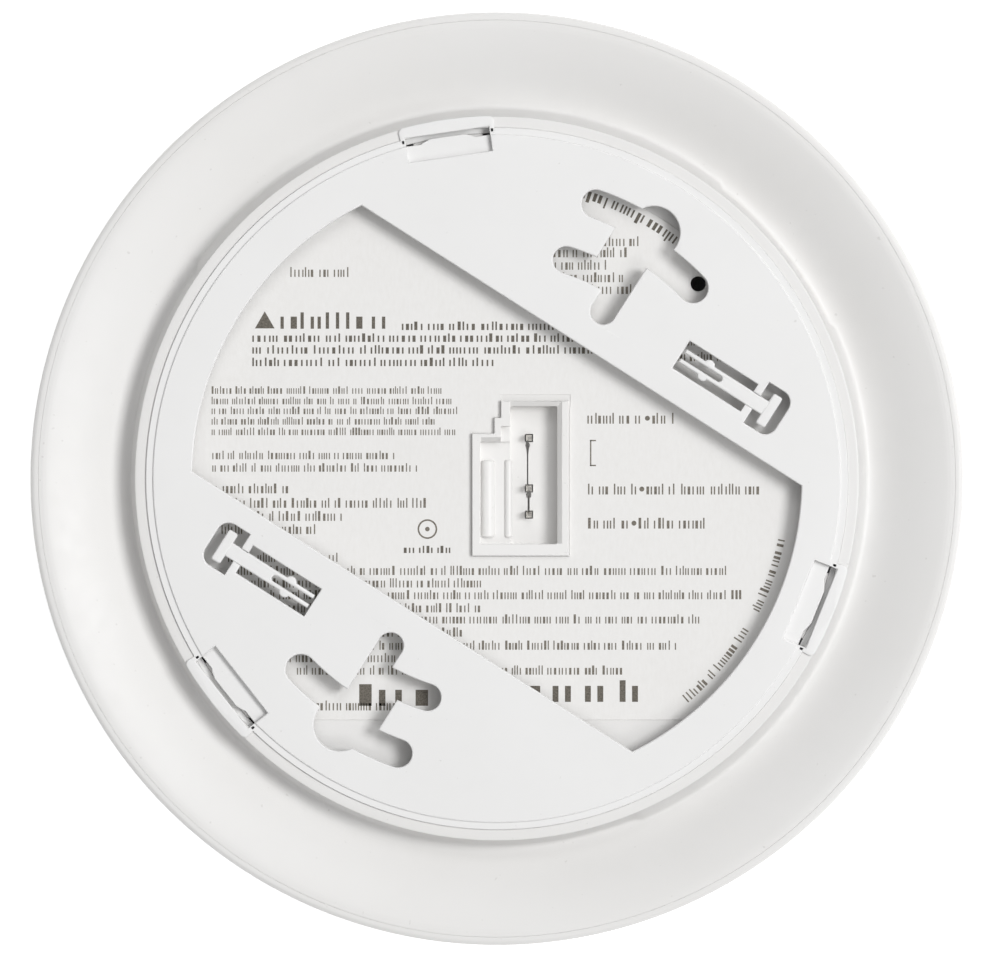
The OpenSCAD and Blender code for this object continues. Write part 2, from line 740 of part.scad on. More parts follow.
module test_button() color(shell_white) translate([button_at[0], button_at[1], 0]) {
    face = crown_z(norm(button_at)) - 0.35;
    flange_z = crown_z(norm(button_at)) + cover_wall + 0.4;
    stem_top = leaf_z - 0.3;
    translate([0, 0, face]) difference() {
        cylinder(r = button_r, h = flange_z - face + e);
        translate([0, 0, -11.4]) sphere(r = 12);
    }
    translate([0, 0, flange_z]) cylinder(r = button_r + 1.4, h = 1.2);
    translate([0, 0, flange_z]) cylinder(r = 2, h = stem_top - flange_z);
    for (a = [0, 90]) rotate([0, 0, a]) translate([-5, -0.5, flange_z]) cube([10, 1, 12]);
}

mounting_bracket();
locking_pin_a();
locking_pin_b();
back_housing();
back_label();
power_socket();
line_pin();
interconnect_pin();
neutral_pin();
front_cover();
insect_screen();
drawer_guide();
main_board();
chamber_base();
chamber_can();
source_holder();
source_foil();
collector_plate();
horn_body();
piezo_plate();
piezo_ceramic();
horn_contacts();
red_led();
green_led();
light_pipes();
film_capacitor();
main_electrolytic();
small_electrolytic();
surge_varistor();
alarm_chip();
interconnect_chip();
resistors();
diodes();
battery_contacts();
test_contact();
battery_drawer();
battery_can();
battery_cells();
battery_end_cap();
battery_terminals();
test_button();
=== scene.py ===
import math
import random

import bmesh
import bpy
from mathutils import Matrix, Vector
from mathutils.geometry import delaunay_2d_cdt


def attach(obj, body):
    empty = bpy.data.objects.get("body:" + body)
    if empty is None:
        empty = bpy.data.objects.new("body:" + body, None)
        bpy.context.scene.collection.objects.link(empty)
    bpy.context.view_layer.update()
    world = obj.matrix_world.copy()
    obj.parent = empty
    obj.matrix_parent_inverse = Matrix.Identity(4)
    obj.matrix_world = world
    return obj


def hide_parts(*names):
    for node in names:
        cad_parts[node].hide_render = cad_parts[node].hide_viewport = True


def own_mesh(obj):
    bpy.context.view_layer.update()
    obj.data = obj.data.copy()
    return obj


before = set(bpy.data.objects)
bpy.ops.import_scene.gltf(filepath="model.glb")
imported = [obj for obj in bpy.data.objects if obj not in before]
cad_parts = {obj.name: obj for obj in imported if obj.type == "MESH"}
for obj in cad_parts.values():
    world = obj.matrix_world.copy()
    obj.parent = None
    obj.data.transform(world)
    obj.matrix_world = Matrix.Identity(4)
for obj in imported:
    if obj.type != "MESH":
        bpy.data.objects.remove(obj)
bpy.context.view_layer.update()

MM = 0.001
rng = random.Random(7)

# -------- dimensions in mm, the CAD's but for a higher neck top and thinner tabs
BRACKET_R, BORDER_R, BORDER_DROP = 53.45, 52.4, 0.3
BRACKET_T, SKIRT_T, SKIRT_BOTTOM = 2.2, 0.8, -6.0
BRACKET_TURN, WINDOW_TURN = -32.5, 98.2
WINDOW_R, WINDOW_OUTER, WINDOW_HALF, WINDOW_DEPTH, SLIT_R = 49.5, 53.25, 6.45, 1.1, 52.0
TAB_HALF, TAB_T = 7.8, 0.3
OPENING_R, OPENING_HALF = 46.4, 24.0
BOX_60, BOX_70, BOX_83, BOX_89 = 30.15, 34.925, 41.65, 44.45
NECK_R, NECK_INNER_R, NECK_TOP, NECK_FOOT_R = 55.2, 53.465, -0.65, 56.5
PAN_TOP, PAN_R, MOAT_FLOOR, CHANNEL_FLOOR = -4.2, 48.8, -7.4, -5.8
RIM_Z, RIM_R, HOUSING_R, LIP_IN = -1.4, 71.09, 69.84, 69.855
SKIRT_END, WALL, COVER_WALL = -10.6, 1.8, 2.0
HOOK_TOP, HOOK_R, HOOK_SPAN, STOP_ANGLE = -2.45, 52.65, (-5.9, 5.9), 7.4
BODY_DEPTH = 50.0
DRAWER_TURN = 22.0
LOCK_AT, LOCK_R = (30.7, 29.7), 1.17
SOCKET_X, SOCKET_Y, SOCKET_TOP, SOCKET_BOTTOM = (-3.8, 11.0), (-11.8, 11.9), -3.2, -11.0
WELL_DEPTH, SHELF_DEPTH = 4.0, 2.4
PIN_X, PIN_YS = 4.9, (6.2, -1.5, -5.5)
BOARD_BOTTOM = -12.6
SHOULDER_C, SHOULDER_R = (48.03, -17.55), 21.84
BAND_TOP, BAND_BOTTOM = (61.0, -34.6), (59.4, -43.4)
CROWN_R, CROWN_RISE = 54.5, 1.8
VENTS, VENT_W = 72, 2.2
PANEL_W, PANEL_TOP, PANEL_BOTTOM, FIT_GAP = 35.8, -12.9, -33.6, 0.35
BATTERY_START, BATTERY_L, BATTERY_W, BATTERY_T = 9.0, 46.6, 26.5, 17.5
TRAY_START, TRAY_BOTTOM, TRAY_FLOOR, TRAY_IN = 7.3, -33.3, 1.3, 27.2
RAIL_TOP, RAIL_T, RAIL_W = -13.2, 3.0, 35.6
BATTERY_BOTTOM = TRAY_BOTTOM + TRAY_FLOOR + 0.1
BUTTON_R = 9.0
LEAF_Z, LEAF_T = -16.0, 0.3
LAMPS, LAMP_R = ((-38.0, 4.0), (-38.0, -4.0)), 1.6


def polar(r, degrees):
    a = math.radians(degrees)
    return (r * math.cos(a), r * math.sin(a))


HORN_RING, BUTTON_RING = 34, 24
HORN_AT = polar(HORN_RING, DRAWER_TURN - 90)
BUTTON_AT = polar(BUTTON_RING, DRAWER_TURN + 180)


def crown_z(r):
    return -BODY_DEPTH + CROWN_RISE * (r / CROWN_R) ** 2


# -------- flat outlines
def arc(c, r, a0, a1, n):
    return [(c[0] + r * math.cos(a), c[1] + r * math.sin(a))
            for a in (math.radians(a0 + (a1 - a0) * i / n) for i in range(n + 1))]


def circle(c, r, n=64):
    return arc(c, r, 0, 360, n)[:-1]


def rect(x0, y0, x1, y1):
    return [(x0, y0), (x1, y0), (x1, y1), (x0, y1)]


def round_rect(x0, y0, x1, y1, r, n=4):
    return (arc((x1 - r, y0 + r), r, -90, 0, n) + arc((x1 - r, y1 - r), r, 0, 90, n)
            + arc((x0 + r, y1 - r), r, 90, 180, n) + arc((x0 + r, y0 + r), r, 180, 270, n))


def ring_sector(r0, r1, a0, a1, n):
    return arc((0, 0), r1, a0, a1, n) + arc((0, 0), r0, a1, a0, n)


def turned(points, degrees):
    c, s = math.cos(math.radians(degrees)), math.sin(math.radians(degrees))
    return [(x * c - y * s, x * s + y * c) for x, y in points]


def shifted(points, dx, dy):
    return [(x + dx, y + dy) for x, y in points]


def area(loop):
    return sum(a[0] * b[1] - b[0] * a[1] for a, b in zip(loop, loop[1:] + loop[:1])) / 2


def triangles(adds, subs):
    """Points and triangles of the adds less the subs."""
    points, faces = [], []
    for loop in adds + subs:
        loop = loop if area(loop) > 0 else loop[::-1]
        faces.append(list(range(len(points), len(points) + len(loop))))
        points += [Vector(p) for p in loop]
    v, _, f, _, _, ids = delaunay_2d_cdt(points, [], faces, 1, 1e-5)
    kept = [tri for tri, own in zip(f, ids)
            if any(i < len(adds) for i in own) and not any(i >= len(adds) for i in own)]
    flat = [(p.x, p.y) for p in v]
    return flat, [t if area([flat[i] for i in t]) > 0 else t[::-1] for t in kept]


SHORT_EDGE, SMALL_LOOP = 0.03, 0.01


def outline(adds, subs=()):
    """Boundary loops of the adds less the subs, each with the material on its left."""
    flat, tris = triangles(list(adds), list(subs))
    edges = {(t[i], t[(i + 1) % len(t)]) for t in tris for i in range(len(t))}
    follow = {}
    for a, b in edges:
        if (b, a) not in edges:
            follow.setdefault(a, []).append(b)
    loops = []
    while follow:
        start = min(follow)
        loop, at = [], start
        while at in follow:
            loop.append(at)
            nexts = follow[at]
            to = nexts.pop()
            if not nexts:
                del follow[at]
            at = to
        points = []
        for p in (flat[i] for i in loop):
            if not points or math.dist(p, points[-1]) > SHORT_EDGE:
                points.append(p)
        if len(points) > 2 and math.dist(points[0], points[-1]) < SHORT_EDGE:
            points.pop()
        if len(points) > 2 and abs(area(points)) > SMALL_LOOP:
            loops.append(points)
    return loops


def inset(loop, d):
    """The loop moved into its material by d, with a sharp corner's reach kept short."""
    out = []
    for i, p in enumerate(loop):
        a, b = Vector(loop[i - 1]), Vector(loop[(i + 1) % len(loop)])
        p = Vector(p)
        u, w = (p - a).normalized(), (b - p).normalized()
        n0, n1 = Vector((-u.y, u.x)), Vector((-w.y, w.x))
        m = n0 + n1
        m = m / max(m.length_squared / 2, 0.35) if m.length > 1e-6 else n0
        out.append(tuple(p + m * d))
    return out


# -------- solids as (points, faces) in mm
def join(*parts):
    points, faces = [], []
    for p, f in parts:
        base = len(points)
        points += p
        faces += [[i + base for i in face] for face in f]
    return points, faces


def rotated(part, degrees):
    flat = turned([(p[0], p[1]) for p in part[0]], degrees)
    return [(x, y, p[2]) for (x, y), p in zip(flat, part[0])], part[1]


def slab(loops, z0, z1, top=0.2, bottom=0.0, steps=3):
    """Plate between two heights with its edges rounded off."""
    levels = []
    for k in range(steps + 1 if bottom else 1):
        a = math.radians(90 * k / steps) if bottom else math.radians(90)
        levels.append((z0 + bottom * (1 - math.cos(a)) if bottom else z0, bottom * (1 - math.sin(a))))
    for k in range(steps + 1 if top else 1):
        a = math.radians(90 * k / steps) if top else 0
        levels.append((z1 - top + top * math.sin(a), top * (1 - math.cos(a))))
    points, faces = [], []
    for loop in loops:
        rings = []
        for z, d in levels:
            rings.append(range(len(points), len(points) + len(loop)))
            points += [(x, y, z) for x, y in inset(loop, d)]
        for low, high in zip(rings, rings[1:]):
            n = len(loop)
            faces += [[low[i], low[(i + 1) % n], high[(i + 1) % n], high[i]] for i in range(n)]
    for z, d, up in ((levels[0][0], levels[0][1], False), (levels[-1][0], levels[-1][1], True)):
        rings = [inset(loop, d) for loop in loops]
        flat, tris = triangles([r for r in rings if area(r) > 0], [r for r in rings if area(r) < 0])
        base = len(points)
        points += [(x, y, z) for x, y in flat]
        faces += [[i + base for i in (t if up else t[::-1])] for t in tris]
    return points, faces


def grid_faces(rows, columns):
    """Faces between rows of points that each close on themselves."""
    return [[j * columns + i, j * columns + (i + 1) % columns, (j + 1) * columns + (i + 1) % columns,
             (j + 1) * columns + i] for j in range(rows - 1) for i in range(columns)]


def block(x0, y0, x1, y1, z0, z1, corner=0.3, top=0.15, bottom=0.15):
    return slab([round_rect(x0, y0, x1, y1, corner)], z0, z1, top, bottom)


def revolve(profile, segments=240, a0=0.0, a1=360.0, about=(0, 0)):
    """A closed profile of (r, z) turned round an axis. The profile may be a function of the angle."""
    whole = a1 - a0 >= 360
    angles = [a0 + (a1 - a0) * i / segments for i in range(segments if whole else segments + 1)]
    points, faces = [], []
    for a in angles:
        section = profile(a) if callable(profile) else profile
        n = len(section)
        c, s = math.cos(math.radians(a)), math.sin(math.radians(a))
        points += [(about[0] + r * c, about[1] + r * s, z) for r, z in section]
    rows = len(angles)
    for j in range(rows if whole else rows - 1):
        k = (j + 1) % rows
        faces += [[j * n + i, k * n + i, k * n + (i + 1) % n, j * n + (i + 1) % n] for i in range(n)]
    if not whole:
        faces.append(list(range(n)))
        faces.append([(rows - 1) * n + i for i in range(n)][::-1])
    return points, faces


def softened(profile, radii, steps=4):
    """Round the corners of a closed profile; radii maps a corner's index to its radius."""
    out = []
    for i, p in enumerate(profile):
        r = radii.get(i, 0)
        if not r:
            out.append(p)
            continue
        p, a, b = Vector(p), Vector(profile[i - 1]), Vector(profile[(i + 1) % len(profile)])
        u, w = (a - p).normalized(), (b - p).normalized()
        half = math.acos(max(-1, min(1, u.dot(w)))) / 2
        reach = min(r / math.tan(half), 0.49 * (a - p).length, 0.49 * (b - p).length)
        start, end = p + u * reach, p + w * reach
        for k in range(steps + 1):
            t = k / steps
            out.append(tuple(start * (1 - t) ** 2 + p * 2 * t * (1 - t) + end * t * t))
    return out


WELD, SLIVER, CUT_WELD = 2e-6, 1e-6, 2e-5      # metres


def to_mesh(name, part):
    mesh = bpy.data.meshes.new(name)
    mesh.from_pydata([Vector(p) * MM for p in part[0]], [], part[1])
    bm = bmesh.new()
    bm.from_mesh(mesh)
    bmesh.ops.remove_doubles(bm, verts=bm.verts, dist=WELD)
    bmesh.ops.dissolve_degenerate(bm, edges=bm.edges, dist=SLIVER)
    bmesh.ops.recalc_face_normals(bm, faces=bm.faces)
    bm.to_mesh(mesh)
    bm.free()
    return mesh


def with_modifiers(obj):
    """Replace an object's mesh with the result of its modifiers."""
    graph = bpy.context.evaluated_depsgraph_get()
    graph.update()
    made = bpy.data.meshes.new_from_object(obj.evaluated_get(graph))
    obj.modifiers.clear()
    obj.data = made
    return obj


def temporary(part):
    obj = bpy.data.objects.new("tool", to_mesh("tool", part))
    bpy.context.scene.collection.objects.link(obj)
    return obj


def carved(part, cutters, bevel=0.0, operation="DIFFERENCE"):
    """The part less its cutters, or its share of them, with its sharp edges bevelled if asked."""
    obj = temporary(part)
    tool = temporary(cutters)
    m = obj.modifiers.new("cut", "BOOLEAN")
    m.object, m.operation, m.solver = tool, operation, "EXACT"
    with_modifiers(obj)
    bpy.data.objects.remove(tool)
    if bevel:
        bm = bmesh.new()
        bm.from_mesh(obj.data)
        bmesh.ops.remove_doubles(bm, verts=bm.verts, dist=CUT_WELD)
        bm.to_mesh(obj.data)
        bm.free()
        m = obj.modifiers.new("round", "BEVEL")
        m.width, m.segments, m.limit_method, m.angle_limit = bevel * MM, 2, "ANGLE", math.radians(42)
        m.use_clamp_overlap = False
        with_modifiers(obj)
    points = [tuple(v.co / MM) for v in obj.data.vertices]
    faces = [list(f.vertices) for f in obj.data.polygons]
    bpy.data.objects.remove(obj)
    return points, faces


def piece(name, part, material, body, replaces=(), crease=38):
    """A visible piece, smooth except where its faces meet at more than the crease."""
    obj = bpy.data.objects.new(name, to_mesh(name, part))
    bpy.context.scene.collection.objects.link(obj)
    mesh = obj.data
    mesh.materials.append(material)
    bm = bmesh.new()
    bm.from_mesh(mesh)
    for face in bm.faces:
        face.smooth = True
    for edge in bm.edges:
        edge.smooth = len(edge.link_faces) == 2 and edge.calc_face_angle(0) < math.radians(crease)
    bm.to_mesh(mesh)
    bm.free()
    m = obj.modifiers.new("normals", "WEIGHTED_NORMAL")
    m.keep_sharp = True
    with_modifiers(obj)
    obj.data.name = name
    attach(obj, body)
    if replaces:
        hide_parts(*replaces)
    return obj


# -------- materials
def grey(value, warm=0.0):
    return (value, value * (1 - 0.4 * warm), value * (1 - warm), 1)


class Finish:
    """A Principled material whose colour, roughness and relief come from noise in object space."""

    def __init__(self, name, **constants):
        self.material = bpy.data.materials.new(name)
        self.material.use_nodes = True
        self.tree = self.material.node_tree
        self.shader = self.tree.nodes["Principled BSDF"]
        for socket, value in constants.items():
            self.shader.inputs[socket.replace("_", " ")].default_value = value
        self.place = self.node("ShaderNodeTexCoord").outputs["Object"]

    def node(self, kind, **settings):
        made = self.tree.nodes.new(kind)
        for key, value in settings.items():
            setattr(made, key, value)
        return made

    def link(self, a, b):
        self.tree.links.new(a, b)

    def noise(self, size_mm, detail=3.0, stretch=(1, 1, 1)):
        """Noise from 0 to 1 with features of about that size."""
        place = self.place
        if stretch != (1, 1, 1):
            mapping = self.node("ShaderNodeMapping")
            mapping.inputs["Scale"].default_value = stretch
            self.link(place, mapping.inputs["Vector"])
            place = mapping.outputs["Vector"]
        made = self.node("ShaderNodeTexNoise")
        made.inputs["Scale"].default_value = 1 / (size_mm * MM)
        made.inputs["Detail"].default_value = detail
        made.inputs["Roughness"].default_value = 0.55
        self.link(place, made.inputs["Vector"])
        return made.outputs["Fac"]

    def ramp(self, source, stops):
        made = self.node("ShaderNodeValToRGB")
        ramp = made.color_ramp
        while len(ramp.elements) < len(stops):
            ramp.elements.new(0.5)
        for element, (at, colour) in zip(ramp.elements, stops):
            element.position, element.color = at, colour
        self.link(source, made.inputs["Fac"])
        return made.outputs["Color"]

    def scaled(self, source, low, high, start=0.3, end=0.7):
        made = self.node("ShaderNodeMapRange")
        for key, value in (("From Min", start), ("From Max", end), ("To Min", low), ("To Max", high)):
            made.inputs[key].default_value = value
        self.link(source, made.inputs["Value"])
        return made.outputs["Result"]

    def mix(self, a, b, fac):
        made = self.node("ShaderNodeMix", data_type="RGBA", blend_type="MIX")
        for value, socket in ((fac, made.inputs[0]), (a, made.inputs[6]), (b, made.inputs[7])):
            if isinstance(value, (int, float, tuple)):
                socket.default_value = value
            else:
                self.link(value, socket)
        return made.outputs[2]

    def colour(self, source):
        self.link(source, self.shader.inputs["Base Color"])

    def roughness(self, source):
        self.link(source, self.shader.inputs["Roughness"])

    def relief(self, *layers):
        """Bumps of (source, height in mm), stacked."""
        normal = None
        for source, height in layers:
            made = self.node("ShaderNodeBump")
            made.inputs["Strength"].default_value = 1.0
            made.inputs["Distance"].default_value = height * MM
            self.link(source, made.inputs["Height"])
            if normal:
                self.link(normal, made.inputs["Normal"])
            normal = made.outputs["Normal"]
        self.link(normal, self.shader.inputs["Normal"])


def moulded(name, base, warm=0.012, gloss=0.42, grain=0.004, dirt=0.035):
    """Moulded plastic: faint mottling, specks of dust in the grain and a fine spark-eroded texture."""
    f = Finish(name, IOR=1.5, Specular_IOR_Level=0.42)
    tones = [(0.3, grey(base * 0.985, warm * 1.5)), (0.7, grey(base * 1.01, warm))]
    body = f.ramp(f.noise(38, 2), tones)
    smudge = f.scaled(f.noise(7, 4), 0, dirt, 0.52, 0.75)
    body = f.mix(body, grey(base * 0.72, 0.05), smudge)
    specks = f.scaled(f.noise(0.9, 1), 0, 0.22, 0.76, 0.82)
    body = f.mix(body, grey(0.33, 0.12), specks)
    f.colour(body)
    f.roughness(f.scaled(f.noise(2.4, 4), gloss - 0.03, gloss + 0.05))
    f.relief((f.noise(0.28, 2), grain), (f.noise(11, 2), 0.012))
    return f.material


def metal(name, colour, rough=0.3, brushed=(1, 1, 1), tarnish=(0.4, 0.36, 0.3, 1), amount=0.25):
    f = Finish(name, Metallic=1.0)
    streaks = f.noise(0.6, 4, brushed)
    worn = tuple(c * 0.82 for c in colour[:3]) + (1,)
    body = f.ramp(streaks, [(0.3, worn), (0.65, colour)])
    f.colour(f.mix(body, tarnish, f.scaled(f.noise(3.5, 5), 0, amount, 0.5, 0.75)))
    f.roughness(f.scaled(f.noise(1.1, 4, brushed), rough - 0.07, rough + 0.13))
    f.relief((streaks, 0.004))
    return f.material


def speckled(name, dark, light, size=0.6, rough=0.5, relief=0.01, **constants):
    """Two tones broken up by noise, for small coated or moulded parts."""
    f = Finish(name, **constants)
    f.colour(f.ramp(f.noise(size, 4), [(0.35, dark), (0.65, light)]))
    f.roughness(f.scaled(f.noise(size * 3, 3), rough - 0.08, rough + 0.1))
    f.relief((f.noise(size * 0.5, 3), relief))
    return f.material


# Painted shade: the shell's plastic is a darker, warmer copy of the bracket's plastic, standing in for
# the shade that falls in the channel round the neck.
shell_white_shaded = moulded("shell_plastic", 0.76, warm=0.018)
bracket_white = moulded("bracket_plastic", 0.80, warm=0.006, gloss=0.38, grain=0.003, dirt=0.03)
button_white = moulded("button_plastic", 0.79, gloss=0.36)
socket_white = moulded("socket_plastic", 0.80, warm=0.02, gloss=0.4, grain=0.002, dirt=0.02)


def paper():
    f = Finish("label_paper", IOR=1.45, Specular_IOR_Level=0.35)
    fibres = f.noise(0.5, 5, (1, 0.35, 1))
    body = f.ramp(fibres, [(0.3, grey(0.775, 0.03)), (0.7, grey(0.80, 0.022))])
    f.colour(f.mix(body, grey(0.62, 0.08), f.scaled(f.noise(12, 3), 0, 0.07, 0.5, 0.8)))
    f.roughness(f.scaled(fibres, 0.42, 0.56))
    f.relief((f.noise(9, 2), 0.05), (f.noise(0.35, 3), 0.003))
    return f.material


def ink(name, dark):
    f = Finish(name, IOR=1.4, Specular_IOR_Level=0.2)
    f.colour(f.ramp(f.noise(0.25, 3), [(0.35, grey(dark, 0.22)), (0.7, grey(dark * 1.9, 0.24))]))
    f.roughness(f.scaled(f.noise(0.7, 2), 0.5, 0.65))
    f.relief((f.noise(0.2, 2), 0.002))
    return f.material


label_paper = paper()
ink_fine, ink_bold = ink("ink_fine", 0.135), ink("ink_bold", 0.1)
steel = metal("contact_metal", (0.72, 0.70, 0.66, 1), 0.24, (1, 1, 6))
screen_metal = metal("screen_metal", (0.46, 0.47, 0.48, 1), 0.38)
tin = metal("chamber_metal", (0.70, 0.71, 0.73, 1), 0.3, (6, 1, 1))
gold = metal("source_metal", (0.83, 0.72, 0.48, 1), 0.3)
brass = metal("brass_sheet", (0.78, 0.60, 0.28, 1), 0.3, (1, 5, 1), (0.45, 0.28, 0.12, 1))
cell_metal = metal("cell_metal", (0.6, 0.6, 0.62, 1), 0.35)
horn_black = speckled("horn_plastic", grey(0.03), grey(0.05), 0.4, 0.45)
insulator = speckled("insulator_plastic", grey(0.62, 0.2), grey(0.7, 0.16), 1.2, 0.4)
ceramic = speckled("piezo_ceramic", grey(0.62, 0.12), grey(0.72, 0.08), 0.5, 0.5)
epoxy = speckled("capacitor_epoxy", (0.48, 0.30, 0.05, 1), (0.58, 0.38, 0.08, 1), 1.5, 0.3)
sleeve = speckled("capacitor_sleeve", (0.02, 0.03, 0.09, 1), (0.03, 0.045, 0.13, 1), 2.5, 0.28)
blue_epoxy = speckled("varistor_epoxy", (0.03, 0.10, 0.30, 1), (0.05, 0.15, 0.38, 1), 1.2, 0.3)
chip_black = speckled("chip_plastic", grey(0.018), grey(0.035), 0.3, 0.55)
resistor_tan = speckled("resistor_body", (0.50, 0.38, 0.22, 1), (0.60, 0.47, 0.29, 1), 0.8, 0.4)
red_lens = speckled("red_lens", (0.55, 0.02, 0.015, 1), (0.66, 0.03, 0.02, 1), 1.5, 0.14,
                    0.002, Transmission_Weight=0.5)
green_lens = speckled("green_lens", (0.03, 0.42, 0.10, 1), (0.05, 0.52, 0.13, 1), 1.5, 0.14,
                      0.002, Transmission_Weight=0.5)
acrylic = speckled("clear_acrylic", grey(0.86), grey(0.92), 2.0, 0.12, 0.001,
                   Transmission_Weight=0.85, IOR=1.49)


def laminate():
    """Solder mask over copper tracks."""
    f = Finish("board_laminate", IOR=1.5)
    weave = f.noise(0.5, 3, (1, 3, 1))
    mask = f.ramp(weave, [(0.3, (0.02, 0.13, 0.055, 1)), (0.7, (0.03, 0.17, 0.07, 1))])
    cells = f.node("ShaderNodeTexVoronoi", feature="DISTANCE_TO_EDGE")
    cells.inputs["Scale"].default_value = 1 / (5 * MM)
    f.link(f.place, cells.inputs["Vector"])
    tracks = f.scaled(cells.outputs["Distance"], 1, 0, 0.05, 0.09)
    f.colour(f.mix(mask, (0.09, 0.26, 0.10, 1), tracks))
    f.roughness(f.scaled(weave, 0.3, 0.42))
    f.relief((tracks, 0.03), (weave, 0.01))
    return f.material


board_green = laminate()


def battery_wrap():
    """Graphite jacket, scuffed by handling."""
    f = Finish("battery_jacket", Metallic=0.35, Coat_Weight=0.3)
    base = f.ramp(f.noise(1.2, 4), [(0.3, grey(0.045, -0.2)), (0.7, grey(0.065, -0.2))])
    scuffs = f.scaled(f.noise(1.0, 5, (1, 1, 4)), 0, 0.5, 0.64, 0.72)
    f.colour(f.mix(base, grey(0.4), scuffs))
    f.roughness(f.scaled(f.noise(2, 4), 0.28, 0.42))
    f.relief((f.noise(0.8, 4), 0.006))
    return f.material


jacket = battery_wrap()

NODE_FINISHES = (
    (steel, "line_pin interconnect_pin neutral_pin horn_contacts battery_contacts battery_terminals"),
    (shell_white_shaded, "drawer_guide"), (board_green, "main_board"), (gold, "source_foil"),
    (insulator, "chamber_base source_holder"), (tin, "chamber_can collector_plate"),
    (horn_black, "horn_body"),
    (brass, "piezo_plate"), (ceramic, "piezo_ceramic"), (red_lens, "red_led"), (green_lens, "green_led"),
    (acrylic, "light_pipes"), (epoxy, "film_capacitor"), (blue_epoxy, "surge_varistor"),
    (sleeve, "main_electrolytic small_electrolytic"), (resistor_tan, "resistors"),
    (cell_metal, "battery_cells"), (chip_black, "alarm_chip interconnect_chip diodes battery_end_cap"),
)
for finish, node_names in NODE_FINISHES:
    for node_name in node_names.split():
        for material_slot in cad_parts[node_name].material_slots:
            material_slot.material = finish


# -------- mounting bracket
# Screw circle, half the slot's width, and how far round its end is from the keyhole's spine
ARM_SLOTS = ((BOX_70, 2.05, 14.9), (BOX_89, 2.15, 12.7), (BOX_83, 2.3, -13.3))
PIN_LINE = 31.0      # the locking pins' middle line


def arm_slot(r, half, a):
    """A curved slot on a screw circle, from the keyhole's spine at -90 degrees to a round end."""
    low, high = sorted((-90, a - 90))
    n = max(6, int(abs(a)))
    return [ring_sector(r - half, r + half, low, high, n), circle(polar(r, a - 90), half, 36)]


def keyhole():
    spine, side, head_r = 1.95, 5.3, 4
    parts = [rect(-spine, -BOX_83, spine, -BOX_60), rect(-spine, -BOX_89, side, -BOX_70),
             circle((0, -BOX_60), spine + 0.03, 36), circle((0, -BOX_89), head_r, 56)]
    for r, half, a in ARM_SLOTS:
        parts += arm_slot(r, half, a)
    return parts


def pin_pocket():
    """Cut-out that a locking pin lies in: prongs, shank, and head with its rounded lobes."""
    y, lobe_x, lobe_y, lobe_r = PIN_LINE, 29.8, 1.75, 1.9
    return [rect(13.5, y - 2.45, 25.8, y + 2.45), rect(25, y - 1.15, 28, y + 1.15),
            rect(27.1, y - 3.65, lobe_x, y + 3.65), rect(27.1, y - lobe_y, 31.7, y + lobe_y),
            circle((lobe_x, y - lobe_y), lobe_r, 40), circle((lobe_x, y + lobe_y), lobe_r, 40)]


def window():
    return rect(WINDOW_R, -WINDOW_HALF, WINDOW_OUTER, WINDOW_HALF)


def plate_openings():
    bow = math.degrees(math.asin(OPENING_HALF / OPENING_R))
    wiring = arc((0, 0), OPENING_R, -bow, bow, 48) + arc((0, 0), OPENING_R, 180 - bow, 180 + bow, 48)
    shapes = [wiring]
    for turn in (0, 180):
        shapes += [turned(p, turn) for p in keyhole() + pin_pocket()]
    through = rect(WINDOW_R, -WINDOW_HALF, BRACKET_R + 1, WINDOW_HALF)
    gaps = [turned(through, WINDOW_TURN + 120 * k) for k in range(3)]
    return [turned(p, BRACKET_TURN) for p in shapes] + gaps


def tab_outline():
    """Band over the neck's ring with its outer corners rounded."""
    r0, r1, corner = BRACKET_R - 0.8, NECK_R + 0.05, 0.9
    step = math.degrees(corner / r1)
    outer = arc((0, 0), r1, step - TAB_HALF, TAB_HALF - step, 24)
    high = arc(polar(r1 - corner, TAB_HALF - step), corner, TAB_HALF - step + 15, TAB_HALF + 75, 5)
    low = [(x, -y) for x, y in high[::-1]]
    return outer + high + arc((0, 0), r0, TAB_HALF, -TAB_HALF, 24) + low


